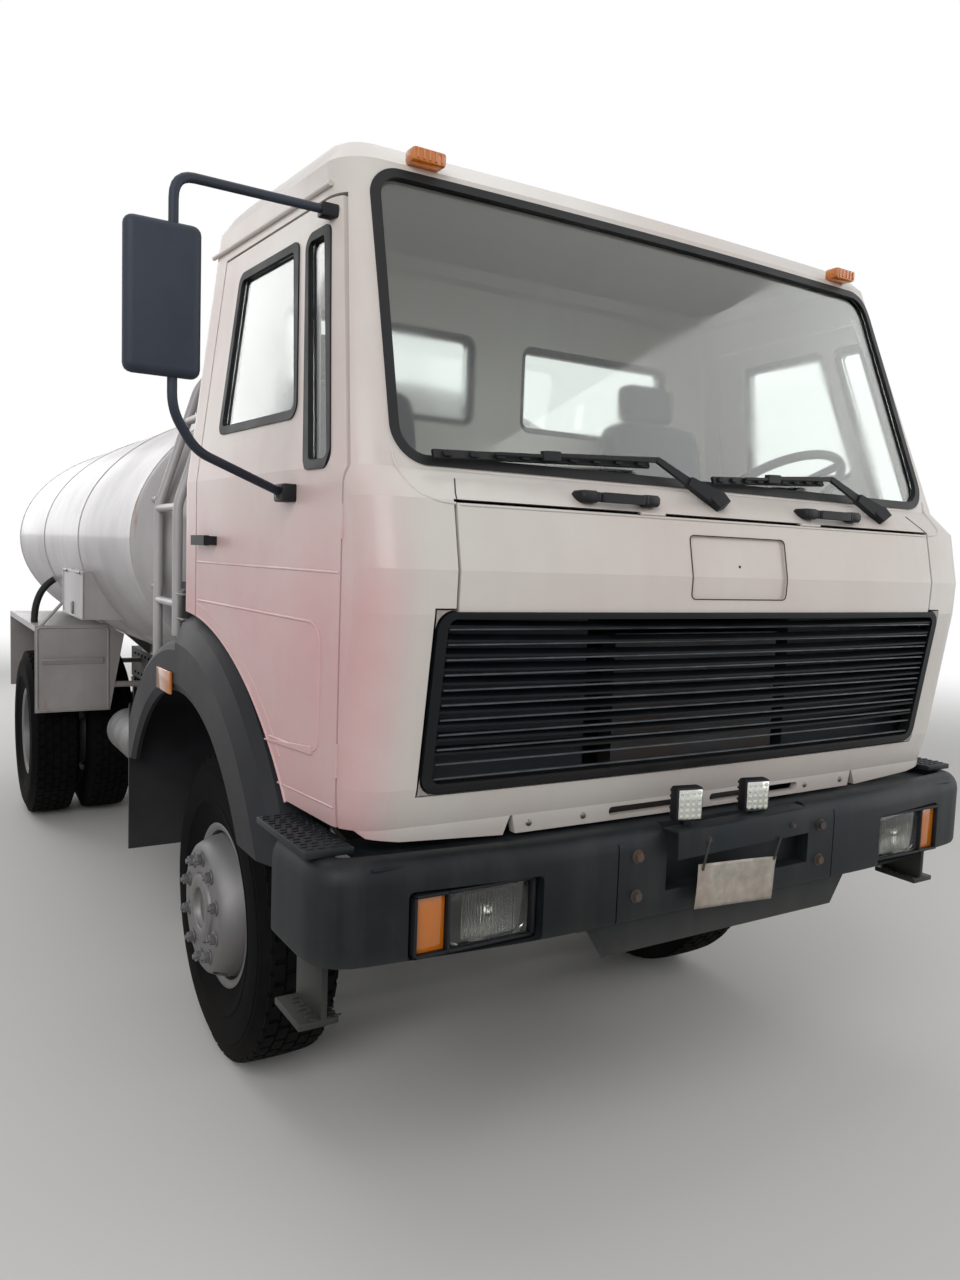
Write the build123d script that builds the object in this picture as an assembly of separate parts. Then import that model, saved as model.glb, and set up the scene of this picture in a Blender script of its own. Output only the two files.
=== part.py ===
"""Tanker truck: a two-axle forward-control lorry with an elliptical steel tank.

Millimetres, +Z up. The front of the truck faces -Y and its left side is +X.
The pieces are drawn in truck coordinates (X = 0 on the centre line, Y = 0 at the
front axle, Z = 0 on the ground) and then moved together so that the origin lies
on the ground below the middle of the whole vehicle's box.
"""

import os
from functools import lru_cache
from math import cos, pi, radians, sin

from build123d import *

# Running gear
wheelbase = 3500.0
tyre_radius = 515.0
tyre_width = 276.0
bead_radius = 258.0
rim_half_width = 100.0
rim_flange = 8.0
rim_flange_radius = 276.0
rim_bore_radius = 247.0
front_wheel_x = 905.0
rear_outer_wheel_x = 1112.0
dual_spacing = 320.0
disc_offset = 160.0
disc_thickness = 14.0
stud_circle_radius = 167.5
stud_count = 10
nut_radius = 18.0
stud_radius = 11.0
drum_radius = 205.0
spindle_radius = 40.0
running_fit = 0.05
kingpin_x = 760.0
kingpin_radius = 24.0
steering_arm = 165.0
track_rod_z = 407.0
ball_radius = 14.0
axle_tube_radius = 70.0
axle_nose_reach = 270.0

# Chassis frame
frame_width = 780.0
rail_height = 220.0
rail_flange = 72.0
rail_wall = 9.0
frame_top = 955.0
frame_front_y = -1150.0
frame_rear_y = 4420.0

# Cab
cab_rear_y = 0.0
cab_bottom_z = 1092.0
cab_half_width = 1160.0
cab_taper = 0.0595
cab_lean = 0.14
belt_z = 1995.0
roof_edge_z = 2705.0
roof_rise = 95.0
wall = 45.0
front_corner_radius = 105.0
rear_corner_radius = 60.0
moving_gap = 8.0
fit_gap = 0.3
arch_radius = 1035.0
arch_centre_z = 490.0
door_rear_y = -150.0
door_front_y = -1130.0
door_top_z = 2600.0
door_top_front_y = -895.0
door_hinge_z = (1250.0, 1800.0)
hinge_pin_radius = 2.5
hinge_radius = 3.75
flap_half_width = 872.0
flap_top_z = 1852.0
flap_hinge_x = 300.0
flap_hinge_y = -1283.0
grille_half_width = 925.0
grille_bottom_z = 1176.0
grille_top_z = 1606.0
louvre_count = 11
flare_face_x = 1172.0
mudguard_sheet = 12.0
mudguard_radius = 942.0
mudflap_y = 718.0
valance_z = 1045.0
valance_sheet = 24.0
lamp_recess_y = -1290.0
windscreen_bottom_z = 1938.0
windscreen_top_z = 2688.0
windscreen_half_bottom = 992.0
windscreen_half_top = 948.0
rear_window_z = (2210.0, 2538.0)
window_radius = 34.0
seal_width = 24.0
tunnel_half_width = 420.0
tunnel_top_z = 1610.0
footwell_z = 1130.0
bulkhead_y = -1150.0
bulkhead_sheet = 30.0
steering_tilt = 32.0

# Tank
mudguard_top_z = 1240.0
tank_half_width = 1185.0
tank_half_height = 718.0
tank_centre_z = 1748.0
tank_front_y = 640.0
tank_rear_y = 4130.0
tank_dish = 285.0
manhole_y = 2250.0
manhole_radius = 240.0
lid_hinge_offset = 268.0
lid_hinge_z = 2525.0
lid_pin_radius = 10.0
coupling_bore_radius = 50.0
coupling_depth = 60.0
tow_pin_radius = 20.0
ladder_x = -1114.0

# Reach of the pieces that stand out furthest, which set the origin
mirror_reach = 1550.0
rear_half_width = 1250.0
bumper_front_y = -1352.0
front_end_y = -1372.0
rear_end_y = 4485.0

frame_x = (mirror_reach - rear_half_width) / 2
frame_y = -(front_end_y + rear_end_y) / 2


# Small helpers

def block(x, y, z):
    """Box from three (low, high) pairs."""
    return Pos((x[0] + x[1]) / 2, (y[0] + y[1]) / 2, (z[0] + z[1]) / 2) * Box(
        x[1] - x[0], y[1] - y[0], z[1] - z[0])


def rod(a, b, radius):
    """Round bar between two points."""
    a, b = Vector(*a), Vector(*b)
    plane = Plane(origin=a, z_dir=(b - a).normalized())
    return extrude(plane * Circle(radius), (b - a).length)


def upright(x, y, z0, z1, radius):
    """Vertical cylinder."""
    return Pos(x, y, z0) * extrude(Circle(radius), z1 - z0)


def tube_path(points, bend, radius):
    """Bent round bar through the points, each corner an arc of the given bend."""
    line = FilletPolyline(*points, radius=bend)
    start = Plane(origin=line @ 0, z_dir=line % 0)
    return sweep(start * Circle(radius), path=line)


def prism_x(points, x0, x1):
    """Outline of (y, z) points extruded along X."""
    face = make_face(Polyline(*[(0, y, z) for y, z in points], close=True))
    return Pos(x0, 0, 0) * extrude(face, x1 - x0, dir=(1, 0, 0))


def prism_y(points, y0, y1):
    """Outline of (x, z) points extruded along Y."""
    face = make_face(Polyline(*[(x, 0, z) for x, z in points], close=True))
    return Pos(0, y0, 0) * extrude(face, y1 - y0, dir=(0, 1, 0))


def rounded_prism_x(points, radius, x0, x1):
    """As prism_x, with every corner rounded."""
    face = make_face(Polyline(*[(0, y, z) for y, z in points], close=True))
    face = fillet(face.vertices(), radius)
    return Pos(x0, 0, 0) * extrude(face, x1 - x0, dir=(1, 0, 0))


def rounded_prism_y(points, radius, y0, y1):
    """Outline of (x, z) points extruded along Y, with rounded corners."""
    face = make_face(Polyline(*[(x, 0, z) for x, z in points], close=True))
    face = fillet(face.vertices(), radius)
    return Pos(0, y0, 0) * extrude(face, y1 - y0, dir=(0, 1, 0))


def ring_x(profile, centre):
    """Profile of (x, radius) points spun about the X axis through a centre."""
    face = make_face(Polyline(*[(x, 0, r) for x, r in profile], close=True))
    return Pos(*centre) * revolve(face, Axis.X)


def disc_x(x0, x1, radius, centre=(0, 0, 0)):
    """Cylinder along X between x0 and x1 about a centre line."""
    return Pos(x0 + centre[0], centre[1], centre[2]) * extrude(Plane.YZ * Circle(radius), x1 - x0)


def group(*shapes):
    """One node of several solids that don't touch."""
    return Compound([solid for shape in shapes for solid in shape.solids()])


def mirrored(shape):
    """Mirror image of a shape in the centre plane."""
    return group(*[mirror(solid, Plane.YZ) for solid in shape.solids()])


def both_sides(shape):
    """The shape and its mirror image in the centre plane."""
    return group(shape, mirrored(shape))


def fuse(*shapes):
    """One solid from touching shapes."""
    result = shapes[0]
    for shape in shapes[1:]:
        result = result + shape
    return result


# Cab body

# Section heights with the front face's Y on the centre line at each.
CAB_SECTIONS = (
    # (z, y_front)
    (cab_bottom_z, -1222.0),
    (1190.0, -1250.0),
    (1600.0, -1312.0),
    (1700.0, -1316.0),
    (1858.0, -1284.0),
    (1930.0, -1200.0),
    (roof_edge_z, -925.0),
)
front_sagitta = 26.0


def half_width(y, z):
    """Half of the cab's width at a place on its side."""
    lean = cab_lean * max(0.0, z - belt_z)
    return cab_half_width + cab_taper * y - lean


def cab_section(z, y_front, inset):
    """Plan outline of the cab at one height, drawn in by an inset."""
    rear = cab_rear_y - inset
    front = y_front + inset
    corner_y = front + front_sagitta
    half_rear = half_width(rear, z) - inset
    half_front = half_width(corner_y, z) - inset
    outline = make_face([
        Line((-half_rear, rear, z), (half_rear, rear, z)),
        Line((half_rear, rear, z), (half_front, corner_y, z)),
        ThreePointArc((half_front, corner_y, z), (0, front, z), (-half_front, corner_y, z)),
        Line((-half_front, corner_y, z), (-half_rear, rear, z)),
    ])
    corners = outline.vertices().sort_by(Axis.Y)
    outline = fillet(corners[:2], max(front_corner_radius - inset, 36.0))
    corners = outline.vertices().filter_by_position(Axis.Y, rear - 1, rear + 1)
    return fillet(corners, max(rear_corner_radius - inset, 14.0))


@lru_cache(maxsize=None)
def cab_form(inset, bottom=None):
    """The cab's closed outer form, drawn in all round by an inset."""
    low = cab_bottom_z if bottom is None else bottom
    sections = [(low, CAB_SECTIONS[0][1])] + [s for s in CAB_SECTIONS[1:] if s[0] > low]
    faces = [cab_section(z, y, inset) for z, y in sections]
    body = loft(faces, ruled=True)
    # The crowned roof: two ruled steps drawn in from the roof's edge.
    edge_y = CAB_SECTIONS[-1][1]
    crown = loft([
        cab_section(roof_edge_z, edge_y, inset),
        cab_section(roof_edge_z + 0.62 * roof_rise - inset, edge_y + 30.0, inset + 34.0),
        cab_section(roof_edge_z + roof_rise - inset, edge_y + 120.0, inset + 62.0),
    ], ruled=True)
    return body + crown


cab_outer = cab_form(0.0)
cab_inner = cab_form(wall, bottom=cab_bottom_z - 40.0)


def arch_cylinder(radius):
    """Round cutter along X about the front wheels."""
    return disc_x(-1500, 1500, radius, (0, 0, arch_centre_z))


# Door outlines on the side, as (y, z): the front edge follows the windscreen pillar.
def door_outline(grow):
    """Outline of a door, grown all round by a gap."""
    return [
        (door_rear_y + grow, cab_bottom_z - 60.0),
        (door_rear_y + grow, door_top_z + grow),
        (door_top_front_y - grow, door_top_z + grow),
        (door_front_y - grow, 1922.0),
        (door_front_y - grow, cab_bottom_z - 60.0),
    ]


def side_window(grow):
    """Main door window, front edge on the upright divider."""
    return [(-290 + grow, 2060 - grow), (-290 + grow, 2535 + grow),
            (-700 - grow, 2535 + grow), (-845 - grow, 2060 - grow)]


def quarter_window(grow):
    """Fixed quarter window ahead of the divider, with a deeper lower edge."""
    return [(-742 + grow, 2535 + grow), (-882 - grow, 2535 + grow),
            (-1074 - grow, 1924 - grow), (-926 + grow, 1924 - grow)]



@lru_cache(maxsize=None)
def slab(inset_out, inset_in):
    """Skin of the cab's form between two insets."""
    return cab_form(inset_out) - cab_form(inset_in)


def through_side(side, points, radius=window_radius):
    """Cutter with rounded corners through one side of the cab (-1 right, 1 left)."""
    low, high = sorted((side * 700, side * 1400))
    return rounded_prism_x(points, radius, low, high)


def door_prism(side, grow):
    """Door outline as a solid through one side of the cab."""
    low, high = sorted((side * 850, side * 1400))
    return prism_x(door_outline(grow), low, high)


def windscreen_outline(grow):
    """Windscreen opening as (x, z)."""
    return [(-windscreen_half_bottom - grow, windscreen_bottom_z - grow),
            (windscreen_half_bottom + grow, windscreen_bottom_z - grow),
            (windscreen_half_top + grow, windscreen_top_z + grow),
            (-windscreen_half_top - grow, windscreen_top_z + grow)]


def windscreen_cutter(grow, radius):
    """Windscreen opening as a solid along Y."""
    return rounded_prism_y(windscreen_outline(grow), radius, -1500, -700)


REAR_WINDOWS = (
    # (x_centre, half_width)
    (-468.0, 365.0),
    (468.0, 365.0),
)
def rear_window_cutter(grow, radius=45.0):
    """Both windows of the rear wall as solids along Y."""
    low, high = rear_window_z[0] - grow, rear_window_z[1] + grow
    cutters = [
        rounded_prism_y([(x - w - grow, low), (x + w + grow, low), (x + w + grow, high),
                         (x - w - grow, high)], radius, -120, 60)
        for x, w in REAR_WINDOWS]
    return fuse(*cutters)


def flap_outline(grow):
    """Service flap with the wider grille below it, as (x, z)."""
    step_z = grille_top_z
    return [(-flap_half_width - grow, flap_top_z + grow), (-flap_half_width - grow, step_z + grow),
            (-grille_half_width - grow, step_z + grow),
            (-grille_half_width - grow, grille_bottom_z - grow),
            (grille_half_width + grow, grille_bottom_z - grow),
            (grille_half_width + grow, step_z + grow),
            (flap_half_width + grow, step_z + grow), (flap_half_width + grow, flap_top_z + grow)]


cab_skin = cab_outer - cab_inner


HINGE_KNUCKLES = (
    # (low, high, moves) along the pin from the hinge's middle
    (-40.0, -20.0, False),
    (-19.5, 19.5, True),
    (20.0, 40.0, False),
)
hinge_half_length = 40.0
hinge_web = 14.0
hinge_root = moving_gap / 2 + 6.0


def door_hinges(side, moving):
    """Flush hinges in the shut line ahead of a door: the lugs with their pins, or the eyes."""
    y = door_front_y - moving_gap / 2
    x = half_width(y, belt_z)
    reach = hinge_root if moving else -hinge_root
    solids = []
    for z in door_hinge_z:
        for low, high, moves in HINGE_KNUCKLES:
            if moves == moving:
                solids.append(block((x - hinge_web, x), sorted((y, y + reach)), (z + low, z + high)))
                solids.append(upright(x, y, z + low, z + high, hinge_radius))
        if not moving:
            solids.append(upright(x, y, z - hinge_half_length, z + hinge_half_length,
                                  hinge_pin_radius))
    knuckles = fuse(*solids)
    if moving:
        knuckles -= upright(x, y, cab_bottom_z, door_top_z, hinge_pin_radius + running_fit)
    return knuckles if side > 0 else mirror(knuckles, Plane.YZ)


def flap_hinges(moving):
    """Flush hinges in the shut line above the flap: the lugs with their pins, or the eyes."""
    y, z = flap_hinge_y, flap_top_z + moving_gap / 2
    reach = -hinge_root if moving else hinge_root
    solids = []
    for x in (-flap_hinge_x, flap_hinge_x):
        for low, high, moves in HINGE_KNUCKLES:
            if moves == moving:
                web = block((x + low, x + high), (y, y + hinge_web), sorted((z, z + reach)))
                solids.append(web & cab_outer)
                solids.append(disc_x(x + low, x + high, hinge_radius, (0, y, z)))
        if not moving:
            solids.append(disc_x(x - hinge_half_length, x + hinge_half_length, hinge_pin_radius,
                                 (0, y, z)))
    knuckles = fuse(*solids)
    if moving:
        knuckles -= disc_x(-500, 500, hinge_pin_radius + running_fit, (0, y, z))
    return knuckles


VALANCE_SLOTS = (
    # (x_low, x_high)
    (-345.0, -12.0),
    (22.0, 394.0),
)


def valance():
    """Lip below the grille: two corner pieces and a slotted middle strip between them."""
    plan = extrude(cab_section(cab_bottom_z + 2, CAB_SECTIONS[0][1], 0.0), -70)
    plan -= extrude(cab_section(cab_bottom_z + 2, CAB_SECTIONS[0][1], valance_sheet), -70)
    top = cab_bottom_z + 2
    corner = prism_y([(1064, top), (1040, 1074), (960, 1060), (676, valance_z), (656, top)],
                     -1300, -1142)
    strip = prism_y([(-650, top), (650, top), (640, valance_z), (-640, valance_z)], -1300, -1100)
    for low, high in VALANCE_SLOTS:
        strip -= rounded_prism_y([(low, 1057), (high, 1057), (high, 1081), (low, 1081)], 11.0,
                                 -1300, -1100)
    return plan & fuse(strip, corner, mirror(corner, Plane.YZ))


def cab_shell():
    """Welded cab: roof, pillars, corner panels and rear wall, open below."""
    shell = cab_skin - door_prism(-1, moving_gap) - door_prism(1, moving_gap)
    shell -= windscreen_cutter(0.0, 88.0)
    shell -= rear_window_cutter(0.0)
    shell -= prism_y(flap_outline(moving_gap), -1400, -1150)
    shell -= arch_cylinder(arch_radius)
    return fuse(shell, valance(), door_hinges(-1, False), door_hinges(1, False),
                flap_hinges(False))


def door_panel(side):
    """Door panel and window frame, with the wheel arch cut away."""
    panel = cab_skin & door_prism(side, 0.0)
    panel -= arch_cylinder(arch_radius)
    panel -= through_side(side, side_window(0.0))
    panel -= through_side(side, quarter_window(0.0))
    return panel + door_hinges(side, True)


def door_trim(side):
    """Rubber window seals of one door, and its handle."""
    skin = slab(-4.0, 30.0)
    inner_radius = window_radius - seal_width + 6.0
    seals = []
    for outline in (side_window, quarter_window):
        ring = through_side(side, outline(-fit_gap), window_radius - fit_gap)
        ring -= through_side(side, outline(-seal_width), inner_radius)
        seals.append(skin & ring)
    grip = half_width(-240, 1750) + 34.0
    low, high = sorted((side * grip, side * (grip - 16)))
    handle = block((low, high), (-330, -190), (1735, 1765))
    for y in (-318.0, -202.0):
        foot = block(sorted((side * (grip - 8), side * (grip - 70))), (y - 12, y + 12), (1737, 1763))
        handle = handle + (foot - cab_outer)
    return group(*seals, handle)


def door_glass(side):
    """Both panes of one door."""
    skin = slab(8.0, 14.0)
    panes = [
        skin & through_side(side, outline(-seal_width - fit_gap), window_radius - seal_width + 6.0)
        for outline in (side_window, quarter_window)]
    return group(*panes)


def mirror_right():
    """Mirror housing on two bent tubes clamped to the right door."""
    housing = block((-1550, -1382), (-1035, -985), (2092, 2424))
    housing = fillet(housing.edges().filter_by(Axis.Y), 26)
    housing = fillet(housing.faces().sort_by(Axis.Y)[0].edges(), 12)
    stem_x, stem_y = -1466.0, -1006.0
    top_z, low_z = 2500.0, 2010.0
    upper = tube_path([(stem_x, stem_y, 2420), (stem_x, stem_y, top_z + 14),
                       (stem_x + 80, stem_y, top_z + 40), (-1048, -884, 2558)], 28.0, 11.0)
    lower = tube_path([(stem_x, stem_y, 2096), (stem_x, stem_y, low_z), (-1345, -960, 1900),
                       (-1140, -850, 1872)], 45.0, 11.0)
    pad = block((-1068, -990), (-900, -868), (2542, 2574)) - cab_outer
    low_x = -half_width(-850, 1890)
    clamp = block((low_x - 38, low_x + 40), (-885, -815), (1850, 1892)) - cab_outer
    return fuse(housing, upper, lower, pad, clamp)


def windscreen():
    """Curved glass pane of the windscreen."""
    return slab(8.0, 14.0) & windscreen_cutter(-seal_width - fit_gap, 88.0 - seal_width)


def window_seals():
    """Rubber seals of the windscreen and of the rear windows."""
    ring = windscreen_cutter(-fit_gap, 88.0 - fit_gap) - windscreen_cutter(-seal_width,
                                                                         88.0 - seal_width)
    front = slab(-5.0, 30.0) & ring
    rear_ring = rear_window_cutter(-fit_gap, 45.0 - fit_gap) - rear_window_cutter(-seal_width,
                                                                                45.0 - seal_width)
    rear = slab(-5.0, 30.0) & rear_ring
    return group(front, rear)


def rear_windows():
    """Glass of the two windows in the rear wall."""
    return slab(8.0, 14.0) & rear_window_cutter(-seal_width - fit_gap, 45.0 - seal_width)


def cab_floor():
    """Floor pan: footwell, wheel housings, engine tunnel and front bulkhead."""
    thick = 30.0
    room = cab_form(wall + fit_gap, bottom=cab_bottom_z + 1.0)
    housings = arch_cylinder(arch_radius + thick) - arch_cylinder(arch_radius)
    housings &= block((-1300, 1300), (-1000, 200), (footwell_z, 1700))
    footwell = block((-1300, 1300), (-1400, -700), (footwell_z, footwell_z + thick))
    footwell -= arch_cylinder(arch_radius)
    floor = (housings + footwell) - block((-tunnel_half_width, tunnel_half_width), (-1400, 200),
                                          (1000, 1700))
    tunnel = block((-tunnel_half_width, tunnel_half_width), (-1400, 200),
                   (footwell_z, tunnel_top_z))
    tunnel -= block((-tunnel_half_width + thick, tunnel_half_width - thick), (-1400, 200),
                    (1000, tunnel_top_z - thick))
    bulkhead = block((-1300, 1300), (bulkhead_y, bulkhead_y + bulkhead_sheet), (footwell_z, 1850))
    pan = (floor + tunnel) & block((-1300, 1300), (bulkhead_y, 200), (1000, 2000))
    opening = block((-tunnel_half_width + thick, tunnel_half_width - thick),
                    (-1400, -1000), (1000, tunnel_top_z - thick))
    floor_pan = ((pan + bulkhead) - opening) & room
    beside_doors = cab_form(wall - 2.0) - cab_form(wall + moving_gap)
    for side in (-1, 1):
        floor_pan = floor_pan - (beside_doors & door_prism(side, moving_gap))
    return floor_pan


def dashboard():
    """Instrument panel across the cab, with the binnacle on the driver's side."""
    half = half_width(-1060, 1900) - wall - 12
    front = bulkhead_y + bulkhead_sheet + fit_gap
    profile = [(front, 1700), (front, 1880), (front + 14, 1905), (-985, 1905), (-950, 1870),
               (-985, 1700)]
    panel = prism_x(profile, -half, half)
    binnacle = prism_x([(-1090, 1890), (-1050, 1968), (-965, 1968), (-940, 1880)], 440, 900)
    centre, foot = steering_line()
    return (panel + binnacle) - rod(tuple(centre), tuple(foot), 33)


def steering_line():
    """Middle of the steering wheel and the foot of its column."""
    tilt = radians(steering_tilt)
    centre = Vector(660, -830, 1985)
    return centre, centre - Vector(0, sin(tilt), cos(tilt)) * 330


def steering_wheel():
    """Steering wheel and its column."""
    centre, foot = steering_line()
    tilt = radians(steering_tilt)
    up = Vector(0, sin(tilt), cos(tilt))
    axis = up * -1
    plane = Plane(origin=centre, z_dir=up)
    rim = plane * Torus(225, 15)
    hub = plane * Pos(0, 0, -20) * Cylinder(48, 60)
    wheel = rim + hub
    for angle in (0, 120, 240):
        spoke = plane * Rot(0, 0, angle + 90) * Pos(130, 0, -6) * Box(200, 34, 14)
        wheel = wheel + spoke
    return wheel + rod(tuple(centre + axis * 20), tuple(foot), 30)


def seats():
    """Driver's seat and the passenger's seat, each with base, cushion and back."""
    solids = []
    for x in (-660.0, 660.0):
        base = block((x - 200, x + 200), (-600, -190), (1500, 1668)) - arch_cylinder(
            arch_radius + 30.3)
        cushion = block((x - 240, x + 240), (-665, -165), (1668, 1800))
        cushion = fillet(cushion.edges().filter_by(Axis.X) + cushion.edges().filter_by(Axis.Y),
                         35)
        back = prism_x([(-255, 1760), (-150, 1760), (-85, 2290), (-170, 2290)], x - 235, x + 235)
        back = fillet(back.faces().sort_by(Axis.Z)[-1].edges(), 30)
        head = block((x - 130, x + 130), (-160, -85), (2285, 2440))
        head = fillet(head.edges(), 22)
        solids.append(fuse(base, cushion, back, head))
    return group(*solids)


# Flap and grille

def flap_panel():
    """White service flap under the windscreen, with the blank badge recess."""
    panel = (cab_outer - cab_form(24.0)) & prism_y(
        [(-flap_half_width, grille_top_z + fit_gap), (flap_half_width, grille_top_z + fit_gap),
         (flap_half_width, flap_top_z), (-flap_half_width, flap_top_z)], -1400, -1150)
    recess = rounded_prism_y([(-182, 1641), (182, 1641), (182, 1806), (-182, 1806)], 12.0,
                             -1400, -1000)
    return (panel - ((cab_outer - cab_form(7.0)) & recess)) + flap_hinges(True)


def grille():
    """Black grille: a rounded surround with sloping louvres."""
    w, low, high = grille_half_width, grille_bottom_z, grille_top_z
    outer = rounded_prism_y([(-w, low), (w, low), (w, high), (-w, high)], 42.0, -1400, -1150)
    hole = rounded_prism_y([(-w + 26, low + 22), (w - 26, low + 22), (w - 26, high - 16),
                            (-w + 26, high - 16)], 24.0, -1400, -1150)
    surround = (cab_form(-6.0) - cab_form(30.0)) & (outer - hole)
    frame_solid = surround
    pitch = (high - low - 38.0) / louvre_count
    room = (cab_form(-2.0) - cab_form(26.0)) & block((-w + 20, w - 20), (-1400, -1150),
                                                   (low + 10, high - 10))
    for i in range(louvre_count):
        z = low + 22.0 + pitch * (i + 0.5)
        blade = prism_x([(-1400, z - 12), (-1400, z - 6), (-1150, z + 100), (-1150, z + 94)],
                        -w + 12, w - 12)
        frame_solid = frame_solid + (blade & room)
    return frame_solid


# Outside fittings of the cab

def bumper():
    """Steel bumper with turned-back ends, lower apron and a step at each end."""
    outline = [(-1195, -1000), (-1195, -1210), (-1120, -1290), (-640, bumper_front_y + 4),
               (640, bumper_front_y + 4), (1120, -1290), (1195, -1210), (1195, -1000),
               (1120, -1000), (1120, -1180), (1080, -1215), (620, -1270), (-620, -1270),
               (-1080, -1215), (-1120, -1180), (-1120, -1000)]
    face = make_face(Polyline(*[(x, y, 814) for x, y in outline], close=True))
    beam = extrude(face, 236)
    long_edges = beam.edges().filter_by(Axis.Z).sort_by(Axis.Y)[:4]
    beam = fillet(long_edges, 30)
    apron = prism_y([(-500, 815), (500, 815), (440, 728), (-440, 728)], -1330, -1290)
    beam = beam + apron
    beam = beam - block((-250, 300), (-1400, -1301), (880, 1100))
    for side in (-1, 1):
        lamp = block(sorted((side * 640, side * 980)), (-1400, lamp_recess_y), (820, 972))
        beam = beam - lamp
        step = block(sorted((side * 1076, side * 1195)), (-1210, -880), (1050, 1068))
        lower = block(sorted((side * 1090, side * 1190)), (-1180, -1020), (640, 658))
        hanger = block(sorted((side * 1120, side * 1136)), (-1180, -1020), (655, 830))
        beam = fuse(beam, step, lower, hanger)
    return beam


lamp_back_y = lamp_recess_y - fit_gap


def headlamps():
    """Rectangular headlamps in the bumper's ends."""
    lamp = block((656, 884), (-1318, lamp_back_y), (826, 966))
    return both_sides(fillet(lamp.edges().filter_by(Axis.Y), 10))


def amber_lamps():
    """Front indicators, roof markers and the side markers on the flares."""
    indicator = block((888, 970), (-1316, lamp_back_y), (826, 966))
    indicator = fillet(indicator.edges().filter_by(Axis.Y), 10)
    marker = block((744, 844), (-990, -880), (2690, 2742)) - cab_outer
    side = block((flare_face_x, flare_face_x + 13), (40, 230), (1234, 1322))
    side = fillet(side.faces().sort_by(Axis.X)[-1].edges(), 6)
    return both_sides(group(indicator, marker, side))


def flares():
    """Wide black wheel-arch flares, each running on into a mudguard and mudflap."""
    centre = (0, 0, arch_centre_z)
    face = flare_face_x
    beside = [(1000, 1034.7), (1045, 1034.7), (1045, 1024), (1118, 1014), (1148, 990), (face, 925),
              (face, 792), (1160, 765), (1146, 765), (1158, 795), (1158, 920), (1136, 978),
              (1112, 1000), (1045, 1010), (1000, 1014)]
    top, under = mudguard_radius, mudguard_radius - mudguard_sheet
    behind = [(830, top), (1100, top), (1146, top - 8), (1164, top - 24), (face, top - 42),
              (face, 792), (1160, 765), (1146, 765), (1158, 795), (1158, under - 34),
              (1134, under - 8), (1100, under), (830, under)]
    front = ring_x(beside, centre) & fuse(block((900, 1300), (-1100, 20), (1060, 1700)),
                                          block((900, 1300), (-1100, -500), (930, 1700)))
    rear = ring_x(behind, centre) & block((800, 1300), (20, mudflap_y), (900, 1700))
    flap = block((830, face), (mudflap_y - mudguard_sheet, mudflap_y), (530, 1200))
    flap = flap & disc_x(800, 1200, mudguard_radius, centre)
    return both_sides(fuse(front, rear, flap))


def on_front(x, z, stand_off):
    """Point standing off the cab's front at a height between the crease and the seal."""
    y = -1200.0 - (1930.0 - z) * (84.0 / 72.0) if z < 1930 else -1200.0 + (z - 1930.0) * 0.355
    return (x, y - stand_off + 26.0 * (x / 1080.0) ** 2, z)


WIPERS = (
    # (pivot_x, elbow_x, blade_x_low, blade_x_high)
    (-44.0, -243.0, -900.0, -255.0),
    (666.0, 455.0, -30.0, 440.0),
)


def wipers():
    """Two wiper arms with their blades, parked along the windscreen's foot."""
    solids = []
    for pivot_x, elbow_x, blade_low, blade_high in WIPERS:
        pivot = on_front(pivot_x, 1904, 26)
        boss = rod(on_front(pivot_x, 1904, -30), pivot, 15) - cab_outer
        elbow = on_front(elbow_x, 2004, 46)
        tip = on_front((blade_low + blade_high) / 2, 1978, 38)
        arm = fuse(rod(pivot, elbow, 8), Pos(*elbow) * Sphere(8.5), rod(elbow, tip, 6))
        arm = arm + Pos(*pivot) * Sphere(14)
        blade = rod(on_front(blade_low, 1964, 26), on_front(blade_high, 1990, 26), 9)
        blade = blade + rod(on_front((blade_low + blade_high) / 2, 1977, 26), tip, 6)
        solids.extend((fuse(*boss.solids(), arm, blade)).solids())
    return group(*solids)


def grab_handles():
    """Two black grab handles on the fixed strip above the flap."""
    solids = []
    for side in (-1, 1):
        low, high = on_front(side * 278, 1897, 46), on_front(side * 530, 1897, 46)
        handle = rod(low, high, 12)
        for x in (300, 508):
            foot = rod(on_front(side * x, 1897, -40), on_front(side * x, 1897, 46), 17)
            handle = handle + (foot - cab_outer)
        solids.extend(handle.solids())
    return group(*solids)


def work_lamps():
    """Bent angle bar across the bumper's middle with two square work lamps on it."""
    angle = fuse(block((-242, 290), (front_end_y, -1366), (930, 1034)),
                 block((-242, 290), (front_end_y, -1306), (1034, 1040)))
    angle = Rot(0, 6, 0) * Pos(-24, 0, -1037) * angle
    angle = Pos(24, 0, 1032) * angle
    solids = [angle]
    for x, z in ((-178, 1058), (84, 1032)):
        case = block((x - 58, x + 58), (-1352, -1306), (z + 8, z + 108))
        case = fillet(case.edges().filter_by(Axis.Y), 9)
        foot = block((x - 10, x + 10), (-1340, -1320), (z - 20, z + 10))
        solids.append(case + foot)
    for x in (-120, 160):
        solids.append(block((x - 20, x + 20), (-1368, -1301), (1000, 1008)))
    return fuse(*solids)


# Wheels, drawn on the left with the outside towards +X

def tyre(x, y):
    """One tyre with its beads on the rim."""
    half = tyre_width / 2
    side = [(rim_half_width, bead_radius), (rim_half_width, 282.0), (half, 400.0),
            (half - 20, 495.0), (half - 40, tyre_radius)]
    profile = [(x + u, r) for u, r in side] + [(x - u, r) for u, r in reversed(side)]
    return ring_x(profile, (0, y, tyre_radius))


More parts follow.
